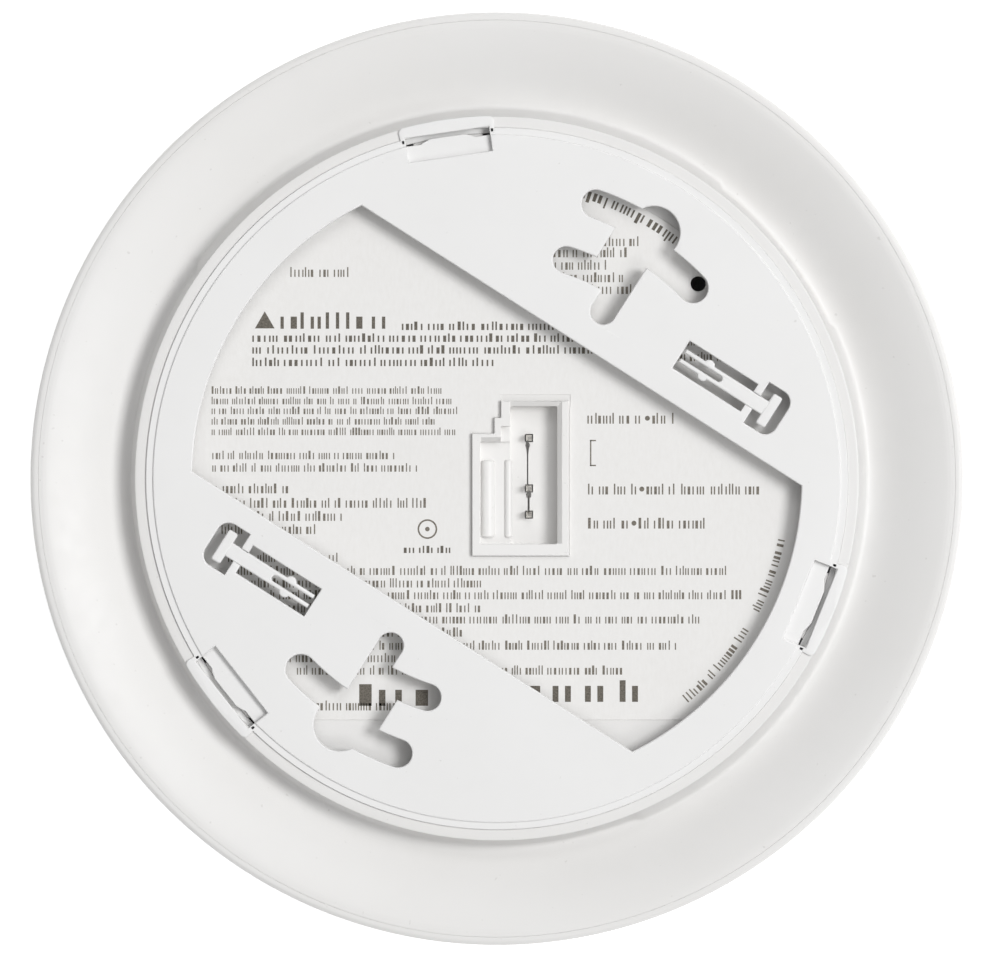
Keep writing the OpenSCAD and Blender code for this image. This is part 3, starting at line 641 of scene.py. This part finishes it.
def bracket():
    """Plate, its lower border, the skirt, and the tab, pad, ledge and stop at each window."""
    openings = plate_openings()
    border_in, ledge_in, stop_in = 50.6, 51.2, 50.2
    inner, wall_mid = BRACKET_R - SKIRT_T, BRACKET_R - SKIRT_T / 2
    ledge_top, stop_top, skirt_top = -5, -1.7, -BRACKET_T - 0.3
    plate = slab(outline([circle((0, 0), BORDER_R, 240)], openings), -BRACKET_T, 0, 0.22, 0.1)
    ring = outline([circle((0, 0), BRACKET_R, 240)], [circle((0, 0), border_in, 240)] + openings)
    border = slab(ring, -BRACKET_T, -BORDER_DROP, 0.12, 0)
    skirt = revolve(softened([(inner, SKIRT_BOTTOM), (BRACKET_R, SKIRT_BOTTOM), (BRACKET_R, skirt_top),
                              (inner, skirt_top)], {0: 0.2, 1: 0.2}))
    parts = [plate, border, skirt]
    for k in range(3):
        turn = WINDOW_TURN + 120 * k
        tab = outline([tab_outline()], [window()])
        swell = [(SLIT_R - 1, -4.2), (SLIT_R, -4.2), (SLIT_R + 0.35, -3.5), (SLIT_R + 0.65, -2.6)]
        pad = outline([rect(WINDOW_R - 0.3, -WINDOW_HALF - 0.3, SLIT_R, WINDOW_HALF + 0.3),
                       swell + [(x, -y) for x, y in swell[::-1]]])
        ledge = [ring_sector(ledge_in, wall_mid, -5.6, 5.8, 14)]
        stop = [ring_sector(stop_in, wall_mid, STOP_ANGLE, STOP_ANGLE + 0.8, 2)]
        parts += [rotated(slab(tab, -BORDER_DROP - TAB_T, -BORDER_DROP, 0.2, 0.15), turn),
                  rotated(slab(pad, -BRACKET_T, -WINDOW_DEPTH, 0.15, 0.1), turn),
                  rotated(slab(ledge, SKIRT_BOTTOM, ledge_top, 0.15, 0.15), turn),
                  rotated(slab(stop, SKIRT_BOTTOM, stop_top, 0, 0.15), turn)]
    return join(*parts)


piece("bracket_shell", bracket(), bracket_white, "bracket", ["mounting_bracket"])


def locking_pin():
    """T-head, shank and two barbed prongs."""
    y, thick = PIN_LINE, 1.7
    barb_x, barb_y, barb_r = 18, 0.85, 0.9
    split_end, split_half = 20.3, 0.5
    prongs = outline([rect(13.8, y - 1.15, 28.8, y + 1.15), circle((barb_x, y - barb_y), barb_r, 32),
                      circle((barb_x, y + barb_y), barb_r, 32)],
                     [rect(13, y - split_half, split_end, y + split_half),
                      circle((split_end, y), split_half, 24)])
    low, high = -BORDER_DROP - thick, -BORDER_DROP
    shank = slab(prongs, low, high, 0.25, 0.15)
    head = block(28.6, y - 2.65, 30.2, y + 2.65, low, high, 0.35, 0.25, 0.15)
    return join(shank, head)


for letter, turn in (("a", 0), ("b", 180)):
    piece(f"split_pin_{letter}", rotated(locking_pin(), BRACKET_TURN + turn), bracket_white, "bracket",
          [f"locking_pin_{letter}"])

# -------- back housing
JOINT_LINES = (24.8, 53.0, 144.5, 293.0)      # angles where the neck's outer wall changes its slope
CHANNEL_START, CHANNEL_END = 56.9, 68.9
EASING, FOOT_BEND, FULL_RISE = 0.35, 14, 0.5786      # of the channel's climb
HOUSING_STEPS = 360
BOSS_RING, BOSS_R, BOSS_ANGLES = 43.2, 2.2, (75, 160, 215, 262, 318)


def channel_z(r):
    """Height of the channel, which climbs from the neck's foot to the rim and eases off."""
    t = max(0.0, (r - CHANNEL_START) / (CHANNEL_END - CHANNEL_START))
    share = (t - EASING * t * t - (1 - math.exp(-FOOT_BEND * t)) / FOOT_BEND) / FULL_RISE
    return CHANNEL_FLOOR + (RIM_Z - CHANNEL_FLOOR) * share


def steepness(a):
    """1 between each pair of joint lines of the neck, where its wall stands steeper, else 0."""
    return 1.0 if JOINT_LINES[0] < a < JOINT_LINES[1] or JOINT_LINES[2] < a < JOINT_LINES[3] else 0.0


def housing_section(a):
    """Profile at an angle: pan, moat, neck, channel, rim, and back along the underside."""
    steep = 0.5 * steepness(a)
    foot = NECK_FOOT_R + 0.4 - steep
    toe = NECK_FOOT_R - steep
    neck = [(PAN_R - 0.25, PAN_TOP), (PAN_R, PAN_TOP - 0.25),
            (PAN_R, MOAT_FLOOR + 0.3), (PAN_R + 0.3, MOAT_FLOOR),
            (NECK_INNER_R - 0.3, MOAT_FLOOR), (NECK_INNER_R, MOAT_FLOOR + 0.3),
            (NECK_INNER_R, NECK_TOP - 0.04), (NECK_INNER_R + 0.04, NECK_TOP),
            (NECK_R - 0.35, NECK_TOP), (NECK_R - 0.12, NECK_TOP - 0.08), (NECK_R, NECK_TOP - 0.3),
            (toe - 0.25, CHANNEL_FLOOR + 0.8), (toe - 0.02, CHANNEL_FLOOR + 0.3),
            (toe + 0.2, CHANNEL_FLOOR + 0.08)]
    crest = [(r, channel_z(r)) for r in (foot + 0.1 + (68.5 - foot) * k / 22 for k in range(23))]
    rim = [(68.8, RIM_Z - 0.05), (69.0, RIM_Z - 0.02), (69.2, RIM_Z), (HOUSING_R - 0.04, RIM_Z),
           (HOUSING_R, RIM_Z - 0.04), (HOUSING_R, SKIRT_END),
           (HOUSING_R - WALL, SKIRT_END), (HOUSING_R - WALL, RIM_Z - WALL - 0.2),
           (62, CHANNEL_FLOOR - WALL + 2.0), (CHANNEL_START, CHANNEL_FLOOR - WALL),
           (NECK_R, MOAT_FLOOR - WALL), (PAN_R - WALL, MOAT_FLOOR - WALL), (PAN_R - WALL, PAN_TOP)]
    return neck + crest + rim


def socket_outline(grow):
    """The socket block seen from above, keyed by two steps at one corner, grown all round."""
    x0, x1 = SOCKET_X[0] - grow, SOCKET_X[1] + grow
    y0, y1 = SOCKET_Y[0] - grow, SOCKET_Y[1] + grow
    return outline([rect(x0, y0, x1, y1)], [rect(x0 - 1, 6.9 + grow, x0 + 3.4, y1 + 5),
                                            rect(x0 - 1, 9.3 + grow, x0 + 4.4, y1 + 5)])


def housing():
    """Turned shell, flat pan, bayonet hooks and the screw bosses under the pan."""
    shell = revolve(housing_section, HOUSING_STEPS)
    holes = socket_outline(-0.2) + [circle(LOCK_AT, LOCK_R, 40)]
    disc = outline([circle((0, 0), PAN_R - 0.2, 240)], holes)
    pan = slab(disc, PAN_TOP - WALL, PAN_TOP - 0.001, 0.08, 0)
    parts = [shell, pan]
    for k in range(3):
        turn = WINDOW_TURN + 120 * k
        wall = [ring_sector(49.9, 50.9, HOOK_SPAN[0] - 1, STOP_ANGLE - 0.1, 14)]
        nose = [ring_sector(50.1, HOOK_R, *HOOK_SPAN, 14)]
        parts += [rotated(slab(wall, MOAT_FLOOR - 0.1, HOOK_TOP, 0.2, 0), turn),
                  rotated(slab(nose, HOOK_TOP - 1.6, HOOK_TOP, 0.3, 0.2), turn)]
    for a in BOSS_ANGLES:
        at = polar(BOSS_RING, a)
        parts.append(slab([circle(at, BOSS_R, 32)], SOCKET_BOTTOM, PAN_TOP - WALL + 0.05, 0, 0.2))
    return join(*parts)


piece("housing_shell", housing(), shell_white_shaded, "alarm", ["back_housing"])

# -------- socket
def funnel(low, z0, high, z1):
    """Solid between two loops of equal length at two heights."""
    n = len(low)
    points = [(x, y, z0) for x, y in low] + [(x, y, z1) for x, y in high]
    faces = [[i, (i + 1) % n, n + (i + 1) % n, n + i] for i in range(n)]
    return points, faces + [list(range(n))[::-1], list(range(n, 2 * n))]


def pin_slits():
    """A clearance round each contact pin, and the tapering slits that run from one to the next."""
    def taper(x, y0, y1, wide, thin):
        reach = y0 - y1
        return [(x - thin / 2, y1), (x + thin / 2, y1), (x + thin / 2, y0 - 0.3 * reach),
                (x + thin, y0 - 0.9), (x + wide / 2, y0 - 0.5), (x + thin, y0), (x - thin, y0),
                (x - wide / 2, y0 - 0.5), (x - thin, y0 - 0.9), (x - thin / 2, y0 - 0.3 * reach)]
    gap = 0.62
    around = [rect(PIN_X - gap, y - gap, PIN_X + gap, y + gap) for y in PIN_YS]
    return around + [taper(4.68, 5.55, -1.0, 0.75, 0.2), taper(4.84, -2.0, -5.1, 0.85, 0.3)]


RIBS = ((-1.35, 1.05), (1.75, 0.6))      # middle and radius


def socket():
    """Block with a deep well round the pins and a shallow shelf with two guide ribs."""
    wells = slab(socket_outline(0), SOCKET_BOTTOM, SOCKET_TOP, 0.18, 0)
    shelf = SOCKET_TOP - SHELF_DEPTH
    floor = SOCKET_TOP - WELL_DEPTH
    over = SOCKET_TOP + 0.3
    well = slab([round_rect(2, -10, 9.2, 11.05, 0.3)], floor, 0, 0, 0.1)
    ledge = slab([round_rect(-2.6, -10, 2.4, 5.6, 0.3)], shelf, 0, 0, 0.1)
    step = slab([round_rect(0.6, 5.3, 2.4, 8.0, 0.3)], shelf + 0.6, 0, 0, 0.1)
    well_mouth = funnel(rect(2, -9.9, 9.2, 11.05), SOCKET_TOP - 0.65, rect(2, -9.9, 10.25, 12.1), over)
    ledge_mouth = funnel(rect(-2.5, -9.9, 2.4, 5.6), SOCKET_TOP - 1.1, rect(-2.5, -9.9, 2.4, 6.5), over)
    slits = slab(outline(pin_slits()), floor - 1.6, 0, 0, 0)
    for cut in (well, ledge, step, well_mouth, ledge_mouth, slits):
        wells = carved(wells, cut, 0.06 if cut is ledge_mouth else 0.0)
    ribs = []
    for x, r in RIBS:
        side = arc((x, shelf - 0.1), r, 0, 180, 14)
        length = [(-9, 0.75), (-8.75, 1.0), (2.6, 1.0), (2.85, 0.75)]      # (y, share of the radius)
        points = [(x + (px - x) * k, y, shelf - 0.1 + (pz - shelf + 0.1) * k)
                  for y, k in length for px, pz in side]
        n = len(side)
        faces = [[j * n + i, j * n + i + 1, (j + 1) * n + i + 1, (j + 1) * n + i]
                 for j in range(len(length) - 1) for i in range(n - 1)]
        faces += [list(range(n)), list(range(3 * n, 4 * n))[::-1]]
        ribs.append((points, faces))
    return join(wells, *ribs)


piece("socket_shell", socket(), socket_white, "alarm", ["power_socket"], crease=30)

# -------- label and its print
LABEL_R, LABEL_T, LABEL_CUT = 46.9, 0.15, -36.8


def label():
    """Round sheet with a straight lower edge, cut out round the socket and the lock pin's hole."""
    margin = rect(SOCKET_X[0] + 4.4, SOCKET_Y[1] - 1, SOCKET_X[1] + 0.2, SOCKET_Y[1] + 0.9)
    holes = socket_outline(0.05) + [margin, circle(LOCK_AT, LOCK_R, 40), rect(-60, -100, 60, LABEL_CUT)]
    return slab(outline([circle((0, 0), LABEL_R, 240)], holes), PAN_TOP, PAN_TOP + LABEL_T, 0.05, 0)


piece("label_sheet", label(), label_paper, "alarm", ["back_label"])

INK_Z, INK_T = PAN_TOP + LABEL_T + 0.015, 0.02
TICK_WIDTHS, TICK_GAPS = (1.0, 1.0, 1.0, 1.9), (1.1, 1.5, 2.1)
TICK_HEIGHTS, WORD_GAP = (0.74, 0.74, 0.74, 1.0), 0.35


def strokes(x0, x1, height, weight):
    """A row of upright ticks in groups, as rectangles about y = 0. It spells nothing."""
    out, x = [], x0
    while x < x1:
        for _ in range(rng.randint(2, 9)):
            wide = weight * rng.choice(TICK_WIDTHS)
            if x + wide > x1:
                return out
            out.append((x, 0, x + wide, height * rng.choice(TICK_HEIGHTS)))
            x += wide + weight * rng.choice(TICK_GAPS)
        x += height * WORD_GAP
    return out


def printed(rects, place):
    points, faces = [], []
    for x0, y0, x1, y1 in rects:
        base = len(points)
        points += [(*place(x, y), INK_Z) for x, y in rect(x0, y0, x1, y1)]
        faces.append([base, base + 1, base + 2, base + 3])
    return points, faces


def line(x0, x1, y, height, weight):
    return printed(strokes(x0, x1, height, weight), lambda x, v: (x, y + v - height / 2))


def curved(r, a0, a1, height, weight):
    """A row along a circle, with its feet away from the centre."""
    length = math.radians(a1 - a0) * r
    ticks = strokes(0, length, height, weight)
    return printed(ticks, lambda x, v: polar(r - v, a0 + math.degrees(x / r)))


# Rows of the print: left end, right end, middle height, stroke height
FINE_ROWS = [
    (-31.5, -22.4, 31.5, 1.5), (-43.5, -8.3, 13.5, 1.15), (-43.5, -6.6, 11.9, 1.15),
    (-43.5, -5.4, 10.4, 1.15), (-43.5, -9.4, 8.8, 1.15), (-43.5, -6.1, 7.2, 1.15),
    (-43.4, -15.3, 3.6, 1.3), (-43.4, -12.0, 1.7, 1.3), (-43.6, -31.8, -1.5, 1.5),
    (-43.0, -10.5, -3.7, 1.5), (-42.4, -23.0, -5.7, 1.5), (-42.0, -27.5, -7.7, 1.5),
    (13.8, 22.4, 9.2, 1.65), (23.7, 27.2, 9.2, 1.65), (13.9, 21.4, -1.6, 1.65), (22.8, 40.2, -1.6, 1.65),
    (13.9, 20.2, -6.8, 1.65), (21.6, 32.1, -6.8, 1.65), (-41.0, -24.0, -12.0, 1.4),
    (-39.5, 35.3, -14.0, 1.4), (-39.0, -2.4, -15.9, 1.4), (-38.0, 37.6, -17.7, 1.4),
    (-37.0, -2.0, -19.7, 1.4), (-36.0, 30.9, -21.4, 1.4), (-35.0, -5.0, -23.4, 1.4),
    (-33.5, 27.6, -25.4, 1.4), (-32.0, -6.0, -27.3, 1.4), (-30.5, 19.3, -29.2, 1.4),
    (-27.5, -14.0, -34.6, 1.5), (6.0, 21.6, 36.2, 1.5), (5.5, 20.0, 34.5, 1.5), (6.0, 17.0, 32.6, 1.5),
    (5.0, 19.4, 30.7, 1.5), (6.0, 20.8, 28.9, 1.5), (22.0, 33.0, 21.0, 1.4), (24.0, 36.0, 18.6, 1.4),
]
# The same, with the strokes' weight
BOLD_ROWS = [
    (-33.0, -16.4, 24.1, 2.5, 0.5), (-14.5, 14.0, 23.3, 1.3, 0.25), (-37.3, 14.5, 21.5, 1.3, 0.25),
    (-37.3, 15.5, 19.7, 1.3, 0.25), (-37.3, -0.1, 17.8, 1.3, 0.25), (-14.2, -6.8, -10.8, 1.1, 0.23),
    (-21.0, -8.3, -33.0, 3.3, 1.0), (3.0, 22.8, -32.4, 3.3, 0.9),
]
# Rows round the edge: radius, start and end angle, stroke height, strokes' weight
FINE_ARCS = [(44.9, -27, -12, 1.4, 0.22), (44.9, -49.5, -31, 1.4, 0.22)]
BOLD_ARCS = [(46.0, 38, 82, 1.7, 0.28)]
FINE_WEIGHT = 0.13      # of the stroke's height
fine = [line(x0, x1, y, h, h * FINE_WEIGHT) for x0, x1, y, h in FINE_ROWS]
fine += [curved(*row) for row in FINE_ARCS]
bold = [line(*row) for row in BOLD_ROWS]
bold += [curved(*row) for row in BOLD_ARCS]


def signs():
    """Ring mark with a dot in it, bullets between the wire rows and a square bracket."""
    mark, sides = (-10.6, -7.7), 36
    ring = [(r, a) for r in (1.25, 1.5) for a in range(0, 360, 360 // sides)]
    points = [(*shifted([polar(r, a)], *mark)[0], INK_Z) for r, a in ring]
    shapes = [(points, grid_faces(2, sides))]
    for x, y, r in ((*mark, 0.35), (22.95, 9.2, 0.38), (22.1, -1.6, 0.38), (20.9, -6.8, 0.38)):
        loop = circle((x, y), r, 20)
        shapes.append(([(*p, INK_Z) for p in loop], [list(range(20))]))
    for x0, y0, x1, y1 in ((14.2, 1.9, 14.4, 5.9), (14.2, 1.9, 15.1, 2.1), (14.2, 5.7, 15.1, 5.9)):
        shapes.append(([(*p, INK_Z) for p in rect(x0, y0, x1, y1)], [[0, 1, 2, 3]]))
    return join(*shapes)


def mark_triangle():
    return [(*p, INK_Z) for p in ((-36.9, 22.9), (-33.9, 22.9), (-35.4, 25.5))], [[0, 1, 2]]


def inside_label(part):
    """Drop strokes that run off the label or into the socket."""
    points, faces = part

    def on_label(x, y):
        near = 0.4
        over_socket = (SOCKET_X[0] - near < x < SOCKET_X[1] + near
                       and SOCKET_Y[0] - near < y < SOCKET_Y[1] + near)
        return math.hypot(x, y) < LABEL_R - 0.3 and y > LABEL_CUT + 0.2 and not over_socket
    return points, [f for f in faces if all(on_label(*points[i][:2]) for i in f)]


def film(part):
    """The flat print with a thickness, so that each mark is a closed solid."""
    points, faces = part
    used = sorted({i for f in faces for i in f})
    place = {old: new for new, old in enumerate(used)}
    points, faces = [points[i] for i in used], [[place[i] for i in f] for f in faces]
    faces = [f if area([points[i][:2] for i in f]) > 0 else f[::-1] for f in faces]
    edges = {(f[i - 1], f[i]) for f in faces for i in range(len(f))}
    n = len(points)
    sides = [[b, a, a + n, b + n] for a, b in sorted(edges) if (b, a) not in edges]
    below = [[i + n for i in f[::-1]] for f in faces]
    return points + [(x, y, INK_Z - INK_T) for x, y, _ in points], faces + below + sides


piece("print_fine", film(inside_label(join(*fine, signs()))), ink_fine, "alarm")
piece("print_bold", film(inside_label(join(*bold, mark_triangle()))), ink_bold, "alarm")

# -------- front cover and battery drawer
GRILLE_R, GRILLE_PITCH, BAR_HALF = 13.5, 4.2, 1.1
SCOOP_AT, SCOOP_Z, SCOOP_R = 83.7, -24.8, 16


def cover_line(t):
    """The cover's outside from its rim to its middle, moved inwards by t."""
    rim_r, front_r = 0.8, 5
    rim = arc((RIM_R - rim_r, RIM_Z - rim_r), rim_r - t / 10, 85, 0, 6)
    side = [(RIM_R - 0.25 - t, -10.5), (RIM_R - 0.4 - t, -14), (RIM_R - 0.8 - t, -17.5)]
    shoulder = arc(SHOULDER_C, SHOULDER_R - t, -9.1, -48.9, 30)
    band = [(BAND_TOP[0] - t * 0.95, BAND_TOP[1] + t * 0.3)]
    front = arc((BAND_BOTTOM[0] - front_r, BAND_BOTTOM[1]), front_r - t, 0, -80, 12)
    crown = [(r, crown_z(r) + t) for r in (50, 44, 38, 32, 26, 20, 14, 8, 3, 0)]
    return rim + side + shoulder + band + front + crown


def cover_section():
    """Closed profile of the cover's wall, with its lip round the housing."""
    seat = [(LIP_IN, RIM_Z - 0.04), (LIP_IN, SKIRT_END), (HOUSING_R - WALL, SKIRT_END),
            (HOUSING_R - WALL, SKIRT_END - 1.6)]
    back = seat + [p for p in cover_line(COVER_WALL) if p[1] < SKIRT_END - 2]
    return cover_line(0) + back[::-1] + [(LIP_IN + 0.04, RIM_Z)]


def drawer_box(gap):
    w = PANEL_W / 2 + gap
    return rotated(slab([rect(40, -w, 80, w)], PANEL_BOTTOM - gap, PANEL_TOP + gap, 0, 0), DRAWER_TURN)


def cover_cutters():
    """Room for the drawer, vents, horn's grille, button's hole and lamps."""
    vent_low, vent_high = BAND_BOTTOM[1] + 0.6, BAND_BOTTOM[1] + 7.6
    slot = slab([rect(55, -VENT_W / 2, 64, VENT_W / 2)], vent_low, vent_high, 0, 0)
    tools = [drawer_box(FIT_GAP)] + [rotated(slot, 360 / VENTS * k) for k in range(VENTS)]
    below, bar_top, hole_top = -BODY_DEPTH - 1, -BODY_DEPTH + 4, -BODY_DEPTH + 5
    for i in range(-3, 4):
        y = GRILLE_PITCH * i
        half = math.sqrt(GRILLE_R ** 2 - y ** 2)
        bar = turned(round_rect(-half, y - BAR_HALF, half, y + BAR_HALF, 1.05), DRAWER_TURN)
        tools.append(slab([shifted(bar, *HORN_AT)], below, bar_top, 0, 0))
    tools.append(slab([circle(BUTTON_AT, BUTTON_R + FIT_GAP, 96)], below, hole_top, 0, 0))
    for at in LAMPS:
        tools.append(slab([circle(at, LAMP_R, 32)], below, hole_top, 0, 0))
    return join(*tools)


def cover():
    """Carved shell, with the ring inside it that the horn sits in."""
    shell = carved(revolve(cover_section(), 288), cover_cutters())
    inner, outer, low, high = 14.9, 16.3, -BODY_DEPTH + 2.2, -BODY_DEPTH + 8.2
    seat = revolve([(inner, low), (outer, low), (outer, high), (inner, high)], 96, about=HORN_AT)
    return join(shell, seat)


piece("cover_shell", cover(), shell_white_shaded, "alarm", ["front_cover"], crease=42)


def drawer_front():
    """The piece of the cover's wall that goes with the drawer, hollowed where a finger pulls it."""
    plug = carved(revolve(cover_section(), 72, DRAWER_TURN - 36, DRAWER_TURN + 36), drawer_box(0),
                  operation="INTERSECT")
    ball = []
    x, y = polar(SCOOP_AT, DRAWER_TURN)
    rows, columns = 24, 48
    for j in range(rows + 1):
        t = math.pi * j / rows
        ball += [(x + SCOOP_R * math.sin(t) * math.cos(2 * math.pi * i / columns),
                  y + SCOOP_R * math.sin(t) * math.sin(2 * math.pi * i / columns),
                  SCOOP_Z + SCOOP_R * math.cos(t)) for i in range(columns)]
    return carved(plug, (ball, grid_faces(rows + 1, columns)), 0.1)


def drawer_tray():
    """Floor, side walls, rails and two cross walls, kept within the cover."""
    side, reach = 1.2, 66.0
    outer = TRAY_IN / 2 + side
    rail_end, rail_low = reach - 2.7, RAIL_TOP - RAIL_T
    stop = BATTERY_START + BATTERY_L + 0.3
    wall = [p for p in cover_line(0.5) if -45 < p[1] < -8]
    outside = revolve([(90, -6), (90, -46)] + wall[::-1], 48, -30, 30)
    floor_top = TRAY_BOTTOM + TRAY_FLOOR
    parts = [carved(block(TRAY_START, -outer, reach, outer, TRAY_BOTTOM, floor_top), outside)]
    for s in (-1, 1):
        y0, y1 = sorted((s * TRAY_IN / 2, s * outer))
        parts.append(carved(block(TRAY_START, y0, reach, y1, TRAY_BOTTOM, RAIL_TOP), outside))
        y0, y1 = sorted((s * TRAY_IN / 2, s * RAIL_W / 2))
        rail = [round_rect(TRAY_START, y0, rail_end, y1, 0.5)]
        if s > 0:
            eye = turned([LOCK_AT], -DRAWER_TURN)[0]
            rail = outline(rail, [circle(eye, 1.4, 32)])
        parts.append(slab(rail, rail_low, RAIL_TOP, 0.15, 0.15))
    parts.append(block(TRAY_START, -outer, TRAY_START + side, outer, TRAY_BOTTOM, TRAY_BOTTOM + 5))
    parts.append(block(stop, -outer, stop + side, outer, TRAY_BOTTOM, RAIL_TOP - 4))
    return rotated(join(*parts), DRAWER_TURN)


piece("drawer_shell", join(drawer_front(), drawer_tray()), shell_white_shaded, "drawer",
      ["battery_drawer"], crease=42)


def screen():
    """Woven guard behind the vents: hoops and upright wires."""
    r, low, high, wire, thin = 56.45, -42.9, -35.3, 0.14, 0.08
    rows, uprights = 9, 360
    parts = []
    for i in range(rows + 1):
        z = low + (high - low) * i / rows
        parts.append(revolve([(r - wire, z - wire), (r + wire, z - wire), (r + wire, z + wire),
                              (r - wire, z + wire)], 180))
    for k in range(uprights):
        parts.append(slab([turned(rect(r - wire, -thin, r + wire, thin), k)], low, high, 0, 0))
    return join(*parts)


piece("screen_mesh", screen(), screen_metal, "alarm", ["insect_screen"])

# -------- button and battery
def button():
    """Dished cap, flange behind the cover, stem and two cross ribs."""
    face = crown_z(BUTTON_RING) - 0.35
    flange = crown_z(BUTTON_RING) + COVER_WALL + 0.4
    dish_r, dish_drop = 12, 11.4
    dish = [(r, face + max(0.0, math.sqrt(dish_r ** 2 - r * r) - dish_drop))
            for r in (0, 1, 2, 2.8, 3.4)]
    flange_r, flange_top = BUTTON_R + 1.4, flange + 1.2
    stem_r, stem_top = 2, LEAF_Z - 0.3
    side = [(3.75, face), (BUTTON_R - 0.6, face), (BUTTON_R - 0.2, face + 0.12),
            (BUTTON_R, face + 0.5), (BUTTON_R, flange), (flange_r, flange), (flange_r, flange_top),
            (stem_r, flange_top), (stem_r, stem_top - 0.3), (stem_r - 0.3, stem_top), (0, stem_top)]
    parts = [revolve(dish + side, 96, about=BUTTON_AT)]
    for a in (0, 90):
        rib = turned(round_rect(-5, -0.5, 5, 0.5, 0.2), a)
        parts.append(slab([shifted(rib, *BUTTON_AT)], flange, flange + 12, 0.15, 0))
    return join(*parts)


piece("button_cap", button(), button_white, "button", ["test_button"], crease=35)


def test_leaf():
    """Bent strip under the board that the button's stem lifts."""
    half, bend = 2, -5.0
    strips = [(-9.0, -4.9, BOARD_BOTTOM - LEAF_T, BOARD_BOTTOM),
              (bend - LEAF_T, bend, LEAF_Z, BOARD_BOTTOM), (bend - LEAF_T, 2.7, LEAF_Z, LEAF_Z + LEAF_T)]
    parts = [slab([round_rect(x0, -half, x1, half, 0.1)], low, high, 0.05, 0.05)
             for x0, x1, low, high in strips]
    points, faces = rotated(join(*parts), DRAWER_TURN)
    return [(x + BUTTON_AT[0], y + BUTTON_AT[1], z) for x, y, z in points], faces


leaf = piece("test_leaf", test_leaf(), steel, "alarm", ["test_contact"])
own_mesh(leaf)


def battery():
    """Seamed jacket with a rolled edge at each end."""
    mid, half = BATTERY_BOTTOM + BATTERY_T / 2, BATTERY_T / 2
    start, end = BATTERY_START + 0.8, BATTERY_START + BATTERY_L
    rolled = ((0, 0.9), (0.05, 0.45), (0.35, 0.08), (0.9, 0.0), (1.3, 0.12), (1.8, 0.12), (2.2, 0.0))
    rings = [(start + x, d) for x, d in rolled] + [(end - x, d) for x, d in rolled[::-1]]
    section = round_rect(-BATTERY_W / 2, mid - half, BATTERY_W / 2, mid + half, 2.0, 8)
    n = len(section)
    points = [(x, *p) for x, d in rings for p in inset(section, d)]
    faces = grid_faces(len(rings), n)
    faces += [list(range(n)), list(range((len(rings) - 1) * n, len(rings) * n))[::-1]]
    return rotated((points, faces), DRAWER_TURN)


piece("battery_jacket_shell", battery(), jacket, "drawer", ["battery_can"])

# -------- floor, light and camera
FLOOR_Z, FLOOR_HALF, FLOOR_GLOW = -BODY_DEPTH * MM, 3.0, 0.55
WORLD_STRENGTH = 0.39
# Name, place and width in metres, watts
LIGHTS = (("key", (1.54, 0.35, 2.55), 1.1, 49.0), ("upper_fill", (0.47, 1.65, 2.46), 1.2, 11.5),
          ("lower_fill", (1.2, -1.24, 2.46), 1.2, 11.0))
floor_mesh = bpy.data.meshes.new("floor")
floor_corners = rect(-FLOOR_HALF, -FLOOR_HALF, FLOOR_HALF, FLOOR_HALF)
floor_mesh.from_pydata([(x, y, FLOOR_Z) for x, y in floor_corners], [], [(0, 1, 2, 3)])
floor = bpy.data.objects.new("floor", floor_mesh)
bpy.context.scene.collection.objects.link(floor)
paper_floor = Finish("floor_paper", Roughness=0.9, Specular_IOR_Level=0.1)
paper_floor.colour(paper_floor.ramp(paper_floor.noise(60, 2), [(0.3, grey(0.94)), (0.7, grey(0.955))]))
paper_floor.shader.inputs["Emission Color"].default_value = (1, 1, 1, 1)
paper_floor.shader.inputs["Emission Strength"].default_value = FLOOR_GLOW
floor_mesh.materials.append(paper_floor.material)


def softbox(name, at, size, power):
    """A round soft light turned to the object."""
    light = bpy.data.lights.new(name, "AREA")
    light.shape, light.size, light.energy = "DISK", size, power
    obj = bpy.data.objects.new(name, light)
    obj.location = at
    obj.rotation_mode = "QUATERNION"
    obj.rotation_quaternion = (-Vector(at)).to_track_quat("-Z", "Y")
    bpy.context.scene.collection.objects.link(obj)


for row in LIGHTS:
    softbox(*row)

world = bpy.data.worlds.new("studio")
world.use_nodes = True
background = world.node_tree.nodes["Background"]
background.inputs["Color"].default_value = (1, 1, 1, 1)
background.inputs["Strength"].default_value = WORLD_STRENGTH
bpy.context.scene.world = world
bpy.context.scene.view_settings.view_transform = "Standard"

# Square on to the back, with the object a little left of and above the middle of the picture
PLANE_WIDTH, PLANE_Z = 0.15242, -0.003      # metres that the picture spans at that height
OFF_CENTRE = (0.00047, -0.00075)
camera_data = bpy.data.cameras.new("camera")
camera_data.lens = 500      # mm, long enough to look almost square on everywhere
camera = bpy.data.objects.new("camera", camera_data)
distance = camera_data.lens / camera_data.sensor_width * PLANE_WIDTH
camera.location = (OFF_CENTRE[0], OFF_CENTRE[1], PLANE_Z + distance)
camera_data.clip_start, camera_data.clip_end = 0.1, 20
bpy.context.scene.collection.objects.link(camera)
bpy.context.scene.camera = camera
